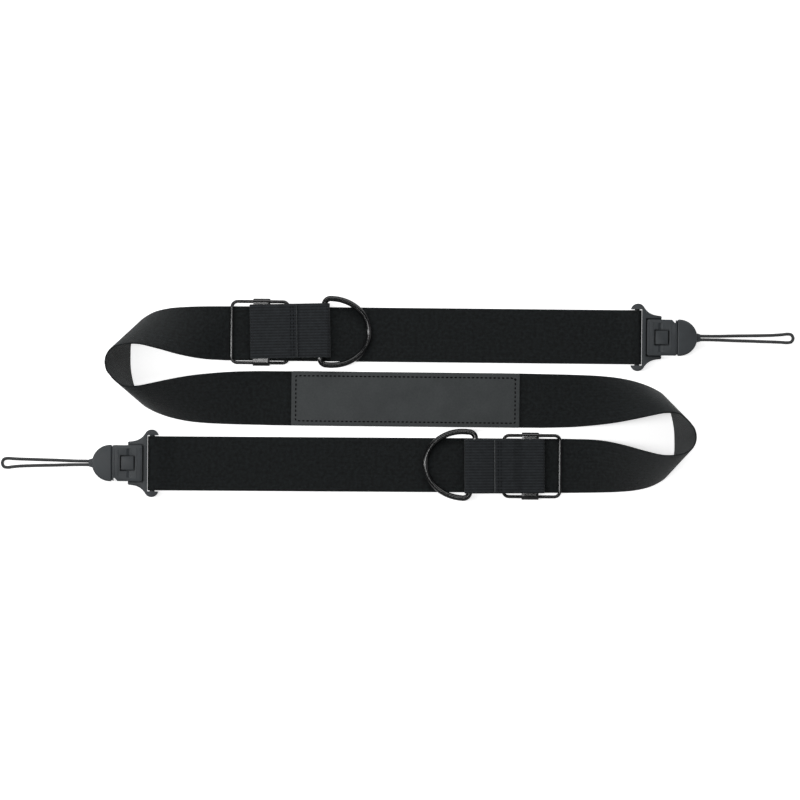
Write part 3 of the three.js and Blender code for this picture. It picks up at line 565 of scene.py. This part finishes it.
# edge points of one standing loop, ruling by ruling
def loopEdges(side):
    width = webbing["width"]
    cx, cy = rows["centre"]
    lean = rows["leftLean"] if side > 0 else rows["rightLean"]
    edges = []
    for back, cross, lead, inward, rise in loopRulings:
        u = rows["reach"] - back * rows["loop"] + (1 - lean) * lead * width
        rise = math.hypot(rise, lead * math.sqrt(1 - lean * lean))
        lead = lean * lead
        v = rows["spacing"] + width / 2 - cross * (rows["spacing"] + width)
        first = np.array((cx - side * u, cy + side * v, floorLayer))
        u, v = u + lead * width, v - inward * width
        edges.append([first, np.array((cx - side * u, cy + side * v, floorLayer + rise * width))])
    return edges


# the whole shoulder webbing: row, loop, and back the same way from the other side
def shoulderPairs():
    right, left = rowEdges(ends["right"]), rowEdges(ends["left"])
    start = right + loopEdges(1)
    finish = [[b, a] for a, b in reversed(left + loopEdges(-1))]
    stations = start + finish
    first, last = len(right) - 1, len(left) - 1
    inner = stations[first : len(stations) - last]
    steps = (len(inner) - 1) * webbing["steps"]
    pairs = stations[:first]
    for i in range(steps + 1):
        pair = [onSpline([p[k] for p in inner], i / steps) for k in (0, 1)]
        for point in pair:
            point[2] = max(point[2], floorLayer)
        pairs.append(pair)
    return pairs + stations[len(stations) - last :]


# gives a piece its material, hides the nodes it stands for and hangs it on its body
def dress(item, material, body, slotName, *nodes):
    item.data.materials.clear()
    item.data.materials.append(material)
    if nodes:
        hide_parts(*nodes)
    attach(item, body)
    return item


shoulderMesh, shoulderLength = bandMesh("shoulderBand", shoulderPairs(), cloth, facets["webbing"])
shoulderBand = dress(addObject("shoulderBand", shoulderMesh), webbingCloth, "strap", "webbing",
                     "shoulder_webbing")
print("shoulder webbing", round(shoulderLength, 4))

for name, end in ends.items():
    shelf = farRod - end["back"]
    top = barHeight + barWrap
    knots = [(shelf + gap, overRod), (shelf + bar["shelf"], overRod, bar["rodBend"]),
             (shelf + bar["shelf"] + bar["ramp"], upperLayer, bar["rampBend"]),
             (-bar["lead"] - bar["barRamp"], upperLayer, bar["barRampBend"]),
             (-bar["lead"], top, bar["bend"]), (barWrap, top, barWrap),
             (barWrap, barHeight - barWrap, barWrap), (shelf + bar["shelf"], floorLayer)]
    pairs = stripPairs(knots, webbing["width"], end["matrix"])
    mesh, length = bandMesh(name + "EndBand", pairs, cloth, facets["webbing"])
    item = addObject(name + "EndBand", mesh)
    endBand = dress(item, webbingCloth, "strap", "webbing", name + "_end_webbing")
    print(name, "end webbing", round(length, 4))

    plateEdge = slider["plateShift"] - slider["plate"] / 2
    plateFront = slider["plateShift"] + slider["plate"] / 2
    turnX = plateEdge - gap - end["slack"] - tab["thick"] / 2
    plateWrap, ringWrap = (overPlate - underPlate) / 2, (overRing - underRing) / 2
    barX = ring["fromSlider"] + end["ringShift"]
    ringTurnX = barX + ringWrap + ring["slack"]
    flat, bend = tab["flat"], tab["bend"]
    knots = [(farRod + tab["hem"], topHigh + tab["lift"]), (farRod - 2 * flat, topHigh, bend),
             (plateFront, overPlate + tab["lift"], bend), (turnX, overPlate, plateWrap),
             (turnX, underPlate, plateWrap), (plateFront + slider["rod"] / 2, underPlate, bend / 3),
             (farRod - flat, underHigh, bend / 2), (farRod + flat, underHigh, bend / 2),
             (farRod + flat + tab["ramp"], underRing, bend), (ringTurnX, underRing, ringWrap),
             (ringTurnX, overRing, ringWrap), (barX - bend, overRing, bend),
             (farRod + flat, middleHigh, bend), (farRod - tab["tail"], middleHigh)]
    pairs = stripPairs(knots, tab["width"], end["tabMatrix"])
    mesh, length = bandMesh(name + "PullTab", pairs, tab["thick"], facets["tab"])
    item = addObject(name + "PullTab", mesh)
    pullTab = dress(item, ribbedCloth, "strap", "ribbed_webbing", name + "_pull_tab")
    print(name, "pull tab", round(length, 4))
print("webbing ready")


# turns a bmesh into a mesh and frees it
def meshOf(build, name):
    mesh = bpy.data.meshes.new(name)
    build.to_mesh(mesh)
    build.free()
    return mesh


# an outline in millimetres, from one height to another
def prism(outline, z0, z1):
    build = bmesh.new()
    bottom = [build.verts.new((x, y, z0)) for x, y in outline]
    topVerts = [build.verts.new((x, y, z1)) for x, y in outline]
    build.faces.new(list(reversed(bottom)))
    build.faces.new(topVerts)
    for i in range(len(outline)):
        j = (i + 1) % len(outline)
        build.faces.new((bottom[i], bottom[j], topVerts[j], topVerts[i]))
    bmesh.ops.recalc_face_normals(build, faces=build.faces)
    return meshOf(build, "prism")


# an object's own mesh becomes what its modifiers make of it
def settle(item):
    bpy.context.view_layer.update()
    made = bpy.data.meshes.new_from_object(item.evaluated_get(bpy.context.evaluated_depsgraph_get()))
    item.modifiers.clear()
    item.data = made
    return made


# a moulded piece: its base with joins and cuts, and its edges eased
def moulded(name, base, matrix, ease, segments=3, cuts=(), joins=()):
    work = addObject(name, base)
    helpers = []
    for operation, meshes in (("UNION", joins), ("DIFFERENCE", cuts)):
        for mesh in meshes:
            helper = addObject("helper", mesh)
            helpers.append(helper)
            modifier = work.modifiers.new("shape", "BOOLEAN")
            modifier.operation = operation
            modifier.solver = "EXACT"
            modifier.object = helper
    bevel = work.modifiers.new("ease", "BEVEL")
    bevel.width = ease
    bevel.segments = segments
    bevel.limit_method = "ANGLE"
    bevel.angle_limit = math.radians(sharp["eased"])
    bevel.use_clamp_overlap = True
    made = settle(work)
    for helper in helpers:
        bpy.data.objects.remove(helper)
    made.name = name
    made.transform(Matrix.Diagonal((mm, mm, mm, 1)) @ matrix)
    smooth(made, sharp["moulded"])
    return work


def arc(cx, cy, radius, start, stop, steps):
    return [(cx + radius * math.cos(start + (stop - start) * k / steps),
             cy + radius * math.sin(start + (stop - start) * k / steps)) for k in range(steps + 1)]


def bezier(a, b, c, d, steps):
    points = []
    for k in range(1, steps + 1):
        t = k / steps
        w = ((1 - t) ** 3, 3 * t * (1 - t) ** 2, 3 * t * t * (1 - t), t**3)
        points.append(tuple(sum(wi * p[i] for wi, p in zip(w, (a, b, c, d))) for i in (0, 1)))
    return points


def rectangle(x0, x1, y0, y1):
    return [(x0, y0), (x1, y0), (x1, y1), (x0, y1)]


def roundedRectangle(length, width, radius, steps, cx=0):
    points = []
    for i, (sx, sy) in enumerate(((1, 1), (-1, 1), (-1, -1), (1, -1))):
        points += arc(cx + sx * (length / 2 - radius), sy * (width / 2 - radius), radius,
                      i * math.pi / 2, (i + 1) * math.pi / 2, steps)
    return points


# a node tree that works along a guide mesh: the tree, its inputs and the curve of the guide
def guideTree(name, *inputs):
    tree = bpy.data.node_groups.new(name, "GeometryNodeTree")
    face = tree.interface
    face.new_socket("Geometry", in_out="INPUT", socket_type="NodeSocketGeometry")
    sockets = [face.new_socket(key, in_out="INPUT", socket_type="NodeSocketFloat") for key in inputs]
    face.new_socket("Geometry", in_out="OUTPUT", socket_type="NodeSocketGeometry")
    into = tree.nodes.new("NodeGroupInput")
    curve = tree.nodes.new("GeometryNodeMeshToCurve")
    tree.links.new(into.outputs["Geometry"], curve.inputs[0])
    return tree, sockets, into, curve


# the end of such a tree: real geometry in one material
def closeTree(tree, last, material):
    real = tree.nodes.new("GeometryNodeRealizeInstances")
    finish = tree.nodes.new("GeometryNodeSetMaterial")
    finish.inputs["Material"].default_value = material
    outOf = tree.nodes.new("NodeGroupOutput")
    tree.links.new(last.outputs[0], real.inputs[0])
    tree.links.new(real.outputs[0], finish.inputs["Geometry"])
    tree.links.new(finish.outputs[0], outOf.inputs[0])


# stitches along the guide, each a small thread capsule
def stitchTree(name, material):
    tree, sockets, into, curve = guideTree(name, "Pitch", "Stitch Length", "Thread")
    nodes, links = tree.nodes, tree.links
    spaced = nodes.new("GeometryNodeResampleCurve")
    spaced.mode = "LENGTH"
    links.new(curve.outputs[0], spaced.inputs["Curve"])
    links.new(into.outputs["Pitch"], spaced.inputs["Length"])
    ball = nodes.new("GeometryNodeMeshUVSphere")
    for key, value in (("Segments", 8), ("Rings", 6), ("Radius", 0.5)):
        ball.inputs[key].default_value = value
    size = nodes.new("ShaderNodeCombineXYZ")
    for i, key in enumerate(("Stitch Length", "Thread", "Thread")):
        links.new(into.outputs[key], size.inputs[i])
    tangent = nodes.new("GeometryNodeInputTangent")
    turn = nodes.new("FunctionNodeAlignRotationToVector")
    turn.axis = "X"
    turn.pivot_axis = "Z"
    links.new(tangent.outputs[0], turn.inputs["Vector"])
    lay = nodes.new("GeometryNodeInstanceOnPoints")
    for key, node in (("Points", spaced), ("Instance", ball), ("Rotation", turn), ("Scale", size)):
        links.new(node.outputs[0], lay.inputs[key])
    closeTree(tree, lay, material)
    return tree, sockets


# a round rib along the guide
def ribTree(name, material):
    tree, sockets, into, curve = guideTree(name, "Rib Radius")
    circle = tree.nodes.new("GeometryNodeCurvePrimitiveCircle")
    circle.inputs["Resolution"].default_value = 12
    rib = tree.nodes.new("GeometryNodeCurveToMesh")
    rib.inputs["Fill Caps"].default_value = True
    tree.links.new(into.outputs["Rib Radius"], circle.inputs["Radius"])
    tree.links.new(curve.outputs[0], rib.inputs["Curve"])
    tree.links.new(circle.outputs[0], rib.inputs["Profile Curve"])
    closeTree(tree, rib, material)
    return tree, sockets


stitches = stitchTree("stitches", thread)
gripRibs = ribTree("gripRibs", plastic)
# the round bead along each hem end that carries the painted highlight of its lit edge
hemHighlightEdge = ribTree("hemHighlightEdge", hemHighlightCloth)


# a piece that a node tree grows along lines in metres, with the tree's inputs in millimetres
def grown(name, lines, growth, sizes, body, angle=None):
    verts = []
    edges = []
    for line in lines:
        start = len(verts)
        verts += [Vector(p) for p in line]
        edges += [(start + i, start + i + 1) for i in range(len(line) - 1)]
    guide = bpy.data.meshes.new(name + "Guide")
    guide.from_pydata(verts, edges, [])
    item = addObject(name, guide)
    modifier = item.modifiers.new("growth", "NODES")
    tree, sockets = growth
    modifier.node_group = tree
    for entry, size in zip(sockets, sizes):
        modifier[entry.identifier] = size * mm
    smooth(settle(item), angle)
    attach(item, body)


# leather pad: eased plate, a line of stitches inset from its edge
pad = {"length": 160, "width": 38, "thick": 1.6, "x": 5.45, "turn": -0.65, "corner": 1.5, "ease": 0.5,
       "inset": 3.2, "seamCorner": 1, "proud": 0.02, "pitch": 3, "stitch": 2.1, "thread": 1}
padMatrix = (Matrix.Translation((pad["x"], rows["centre"][1], 0))
             @ Matrix.Rotation(math.radians(pad["turn"]), 4, "Z"))
padBottom = cloth + gap


def makePad():
    outline = roundedRectangle(pad["length"], pad["width"], pad["corner"], 6)
    plate = prism(outline, padBottom, padBottom + pad["thick"])
    item = moulded("leatherPad", plate, padMatrix, pad["ease"], 4)
    dress(item, padLeather, "strap", "leather", "leather_pad")
    inset = pad["inset"]
    line = roundedRectangle(pad["length"] - 2 * inset, pad["width"] - 2 * inset, pad["seamCorner"], 3)
    top = padBottom + pad["thick"] + pad["proud"]
    loop = [padMatrix @ Vector((x, y, top)) * mm for x, y in line + line[:1]]
    sizes = (pad["pitch"], pad["stitch"], pad["thread"])
    grown("padStitches", [loop], stitches, sizes, "strap")


makePad()
print("pad ready")


# slider frames, sliding bars and D-rings in lacquered metal
def wireOutline(points, matrix, z):
    return [matrix @ Vector((x, y, z)) * mm for x, y in points]


def makeSlider(name, end):
    rod = slider["rod"]
    outline = roundedRectangle(slider["length"] - rod, slider["width"] - rod, slider["corner"], 8)
    path = wireOutline(outline, end["sliderMatrix"], rodHeight)
    mesh = tubeMesh(name + "SliderFrame", path, rod / 2 * mm, facets["rod"], True)
    item = addObject(name + "SliderFrame", mesh)
    dress(item, lacquered, "strap", "black_metal", name + "_slider_frame")
    rail = (slider["width"] - slider["rod"]) / 2
    middle = slider["rod"] / 2 + gap + slider["curl"] / 2  # middle of the curled wall
    x0, x1 = slider["plateShift"] - slider["plate"] / 2, slider["plateShift"] + slider["plate"] / 2
    high = plateBottom + slider["plateThick"] / 2
    turns = np.linspace(math.pi, 0.12, 22)  # from under the rail to just short of its top
    side = [(rail + middle * math.sin(a), rodHeight + middle * math.cos(a)) for a in turns]
    side[-1] = (side[-1][0], high)
    flat = rail - 0.5
    profile = side + [(y, high) for y in np.linspace(flat, -flat, 12)]
    profile += [(-y, z) for y, z in reversed(side)]
    pairs = [[end["sliderMatrix"] @ Vector((x, y, z)) for x in (x0, x1)] for y, z in profile]
    mesh = bandMesh(name + "SlidingBar", pairs, slider["plateThick"], facets["plate"], 4)[0]
    dress(addObject(name + "SlidingBar", mesh), lacquered, "strap", "black_metal", name + "_sliding_bar")


def makeRing(name, end):
    barHalf = ring["height"] / 2 - ring["wire"] / 2
    reach = ring["depth"] - ring["wire"]
    nose = reach * ring["shoulder"]
    corner = ring["corner"]
    outline = arc(corner, corner - barHalf, corner, -math.pi, -math.pi / 2, 10)
    outline += [(nose + (reach - nose) * math.cos(a), barHalf * math.sin(a))
                for a in np.linspace(-math.pi / 2, math.pi / 2, 61)[1:-1]]
    outline += arc(corner, barHalf - corner, corner, math.pi / 2, math.pi, 10)
    droop = math.asin((ringHeight - ring["wire"] / 2 - 2 * (cloth + gap)) / reach)
    place = (ring["fromSlider"] + end["ringShift"], end["ring"], ringHeight)
    matrix = (end["tabMatrix"] @ Matrix.Translation(place)
              @ Matrix.Rotation(math.radians(end["ringTurn"]), 4, "Z") @ Matrix.Rotation(droop, 4, "Y"))
    path = wireOutline(outline, matrix, 0)
    mesh = tubeMesh(name + "DRing", path, ring["wire"] / 2 * mm, facets["ring"], True)
    item = addObject(name + "DRing", mesh)
    dress(item, lacquered, name + "_ring", "black_metal", name + "_d_ring")


for name, end in ends.items():
    makeSlider(name, end)
    makeRing(name, end)
print("metal ready")


# connector: the fork with the webbing bar, the buckle's socket, its button, and the plug
fork = {"width": 47.3, "thick": 6.2, "ear": 5, "forward": 0.5, "arc": 0.2, "spare": 0.7, "relief": 0.8,
        "depth": 1.4, "strip": 3.2, "wing": 10.4, "tip": 30.4, "corner": 1, "neck": 6.6, "swell": 0.4,
        "tray": 1.8, "ease": 0.6}
socket = {"length": 20.8, "width": 25.2, "thick": 9, "corner": 1.2, "gap": 0.35, "ease": 0.35}
button = {"length": 9, "width": 9.6, "back": 5.8, "corner": 0.6, "sunk": 0.5, "well": 1.5, "wellGap": 0.8}
groove = {"half": 2, "deep": 1, "length": 5.2, "aside": 2, "back": 1, "rise": 0.2}
notch = {"back": 3.7, "length": 2.9, "deep": 2.2, "toe": 0.7, "mouth": 0.8}
grip = {"radius": 0.34, "pitch": 1.45, "proud": 0.24, "margin": 1.6, "beside": 1.2,
        "ends": (1.2, 1.2, 1.4, 1.1)}
plug = {"flat": 1.2, "thick": 9.4, "proud": 0.2, "ease": 1.1, "nub": 2.4, "nubWidth": 6.4, "nubThick": 4.4,
        "nubEase": 0.6, "root": 3, "taper": 0.75}
tongue = {"inset": 0.8, "low": 3.2, "back": 0.6, "reach": 1.5, "sunk": 1.5, "ease": 0.2}
past, above = 1, 12  # how far cuts run past a piece, and the height over all pieces where they end
stripStart = barWrap + cloth / 2 + fork["depth"] - cloth
stripEnd = stripStart + fork["strip"]
wingEnd = stripEnd + fork["wing"]
socketStart = stripEnd + socket["gap"]
plugStart = socketStart + socket["length"] + socket["gap"]
plugRadius = socket["width"] / 2 + plug["proud"]
plugEnd = plugStart + plug["flat"] + plugRadius


def forkOutline():
    half = fork["width"] / 2
    slotHalf = webbing["width"] / 2 + fork["spare"]
    earY = half - fork["ear"]
    tip = fork["tip"] / 2
    earX = fork["forward"] + fork["ear"] * math.cos(fork["arc"] * math.pi)
    earTop = earY + fork["ear"] * math.sin(fork["arc"] * math.pi)
    neck = stripEnd + fork["ease"]
    wing = stripEnd + fork["strip"] + fork["ease"]
    start = math.pi + math.asin((slotHalf - earY) / fork["ear"])  # where the ear meets the slot's wall
    lower = arc(fork["forward"], -earY, fork["ear"], start, (2 - fork["arc"]) * math.pi, 26)
    corner = fork["corner"]
    lower += bezier((earX, -earTop), (neck, fork["neck"] - half), (wing, -tip - fork["swell"]),
                    (wingEnd - corner, -tip), 24)
    lower += arc(wingEnd - corner, corner - tip, corner, -math.pi / 2, 0, 6)[1:]
    slot = [(stripStart, slotHalf), (stripStart, -slotHalf)]
    return lower + [(x, -y) for x, y in reversed(lower)] + slot


def rodMesh(radius, half, z):
    build = bmesh.new()
    turn = Matrix.Translation((0, 0, z)) @ Matrix.Rotation(math.pi / 2, 4, "X")
    bmesh.ops.create_cone(build, cap_ends=True, segments=facets["bar"], radius1=radius, radius2=radius,
                          depth=2 * half, matrix=turn)
    return meshOf(build, "rod")


# a V cut with its line along y
def vCut(x, y, top):
    half, long = groove["half"], groove["length"] / 2
    shape = ((-half, groove["rise"]), (0, -groove["deep"]), (half, groove["rise"]))
    mesh = bpy.data.meshes.new("groove")
    verts = [(x + dx, y + dy, top + z) for dy in (-long, long) for dx, z in shape]
    mesh.from_pydata(verts, [], [(0, 1, 2), (5, 4, 3), (0, 3, 4, 1), (1, 4, 5, 2), (2, 5, 3, 0)])
    build = bmesh.new()
    build.from_mesh(mesh)
    bmesh.ops.recalc_face_normals(build, faces=build.faces)
    return meshOf(build, "groove")


def makeConnector(name, end):
    matrix = end["matrix"]
    half = socket["width"] / 2

    def part(kind, base, ease, segments=3, *nodes, **changes):
        item = moulded(name + kind, base, matrix, ease, segments, **changes)
        dress(item, plastic, name + "_connector", "black_plastic", *nodes)

    wide = half + fork["relief"]
    outline = rectangle(socketStart - fork["relief"], wingEnd + past, -wide, wide)
    pocket = prism(outline, fork["tray"], above)
    slotHalf = webbing["width"] / 2 + fork["spare"]
    rod = rodMesh(bar["wire"] / 2, slotHalf + bar["wire"] / 2, barHeight)
    part("Fork", prism(forkOutline(), 0, fork["thick"]), fork["ease"], 3, name + "_end_adapter",
         cuts=[pocket], joins=[rod])

    bottom = fork["tray"] + socket["gap"]
    top = bottom + socket["thick"] - fork["tray"]
    front = socketStart + socket["length"]
    side = button["width"] / 2 + button["wellGap"]
    well0 = socketStart + button["back"] - button["wellGap"]
    well1 = well0 + button["length"] + 2 * button["wellGap"]
    cuts = [prism(rectangle(well0, well1, -side, side), bottom + button["well"], above)]
    cuts += [vCut((well0 + well1) / 2 - groove["back"], s * (side + groove["aside"]), top) for s in (-1, 1)]
    notch0, notchFloor = front - notch["back"], half - notch["deep"]
    notch1 = notch0 + notch["length"]
    cuts.append(prism([(notch1 - notch["toe"], notchFloor), (notch1, notchFloor), (notch1, half + past),
                       (notch0 - notch["mouth"], half + past)], 0, above))
    middle = (socketStart + front) / 2
    outline = roundedRectangle(socket["length"], socket["width"], socket["corner"], 8, middle)
    part("Socket", prism(outline, bottom, top), socket["ease"], 3, name + "_buckle_socket", cuts=cuts)

    lines = []
    inBack, inWell, outWell, outFront = grip["ends"]
    for first, last in ((socketStart + inBack, well0 - inWell), (well1 + outWell, front - outFront)):
        count = int((last - first) / grip["pitch"]) + 1
        for k in range(count):
            x = first + k * (last - first) / max(count - 1, 1)
            reach = half - grip["margin"] - (grip["beside"] if x > notch0 - past else 0)
            z = top - grip["radius"] + grip["proud"]
            lines.append([matrix @ Vector((x, s * reach, z)) * mm for s in (-1, 1)])
    grown(name + "GripRibs", lines, gripRibs, (grip["radius"],), name + "_connector",
          sharp["rib"])

    middle = socketStart + button["back"] + button["length"] / 2
    outline = roundedRectangle(button["length"], button["width"], button["corner"], 6, middle)
    low = bottom + button["well"] + socket["gap"]
    part("Button", prism(outline, low, top - button["sunk"]), socket["ease"], 3, name + "_release_button")

    outline = [(plugStart, -plugRadius)]
    outline += arc(plugStart + plug["flat"], 0, plugRadius, -math.pi / 2, math.pi / 2, 56)
    outline.append((plugStart, plugRadius))
    part("Plug", prism(outline, 0, plug["thick"]), plug["ease"], 5, name + "_buckle_plug")
    nubHalf, taper = plug["nubWidth"] / 2, plug["taper"]
    nubStart, nubEnd = plugEnd - plug["root"], plugEnd + plug["nub"]
    outline = [(nubStart, -nubHalf - taper), (nubEnd, taper - nubHalf), (nubEnd, nubHalf - taper),
               (nubStart, nubHalf + taper)]
    low = (plug["thick"] - plug["nubThick"]) / 2
    part("Nub", prism(outline, low, low + plug["nubThick"]), plug["nubEase"], 4)

    wide = half - tongue["inset"]
    outline = rectangle(front - tongue["back"], front + tongue["reach"], -wide, wide)
    part("Tongue", prism(outline, tongue["low"], top - tongue["sunk"]), tongue["ease"])


for name, end in ends.items():
    makeConnector(name, end)
print("connectors ready")


# fused edge of each pull tab's hem, its lighter tone partly a painted highlight of the lit edge, and the
# stitches behind it
seam = {"fromHem": 2.2, "rows": (0, 2), "margin": 2.5, "proud": 0.05, "pitch": 2.6, "stitch": 1.9,
        "thread": 0.55}
for name, end in ends.items():
    lines = []
    for offset in seam["rows"]:
        x = farRod + tab["hem"] - seam["fromHem"] - offset
        share = (seam["fromHem"] + offset) / (tab["hem"] + 2 * tab["flat"])
        z = topHigh + tab["lift"] * (1 - share) + tab["thick"] / 2 + seam["proud"]
        reach = tab["width"] / 2 - seam["margin"]
        lines.append([end["tabMatrix"] @ Vector((x, s * reach, z)) * mm for s in (-1, 1)])
    sizes = (seam["pitch"], seam["stitch"], seam["thread"])
    grown(name + "TabStitches", lines, stitches, sizes, "strap")
    x, z, reach = farRod + tab["hem"], topHigh + tab["lift"], tab["width"] / 2 - tab["thick"] / 2
    line = [end["tabMatrix"] @ Vector((x, s * reach, z)) * mm for s in (-1, 1)]
    grown(name + "HemEdge", [line], hemHighlightEdge, (tab["thick"] / 2,), "strap", sharp["rib"])
print("stitches ready")


# pale floor and soft studio light: strips on four sides, just outside the camera's view
studio = {"world": 0.1, "floor": 0.86, "glow": 0.65, "under": 0.0002, "high": 1.2, "away": 1.5}
strips = {  # each strip's place as shares of away and high, its two sizes and its power
    "north": ((0, 1, 1), (3, 0.8), 27), "south": ((0, -1, 1), (3, 0.8), 4),
    "east": ((1, 0, 1), (0.8, 2.6), 4), "west": ((-0.65, 0, 1.1), (0.12, 2.6), 17),
}


def makeStage():
    build = bmesh.new()
    bmesh.ops.create_grid(build, x_segments=1, y_segments=1, size=3)
    mesh = meshOf(build, "floor")
    floor = addObject("floor", mesh)
    for vert in mesh.vertices:
        vert.co.z = -studio["under"]
    colour = (*grey(studio["floor"]), 1)
    mesh.materials.append(newMaterial(
        "paleFloor", Roughness=0.9, Specular_IOR_Level=0.1, Base_Color=colour, Emission_Color=(1, 1, 1, 1),
        Emission_Strength=studio["glow"])[0])
    floor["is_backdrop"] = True
    world = bpy.data.worlds.new("studio")
    bpy.context.scene.world = world
    world.use_nodes = True
    light = world.node_tree.nodes["Background"].inputs
    light["Color"].default_value = (1, 1, 1, 1)
    light["Strength"].default_value = studio["world"]
    bpy.context.scene.view_settings.view_transform = "Standard"


def softbox(name, place, size, power):
    data = bpy.data.lights.new(name, "AREA")
    data.shape = "RECTANGLE"
    data.size, data.size_y = size
    data.energy = power
    lamp = bpy.data.objects.new(name, data)
    bpy.context.scene.collection.objects.link(lamp)
    lamp.location = place
    lamp.rotation_euler = (Vector() - Vector(place)).to_track_quat("-Z", "Y").to_euler()


makeStage()
for name, ((x, y, z), size, power) in strips.items():
    softbox(name + "Strip", (x * studio["away"], y * studio["away"], z * studio["high"]), size, power)
print("stage ready")

bpy.context.view_layer.update()
sizes = {"cad": [[float(v) for v in corner] for corner in cadBox],
         "visual": [[float(v) for v in corner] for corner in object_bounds()]}
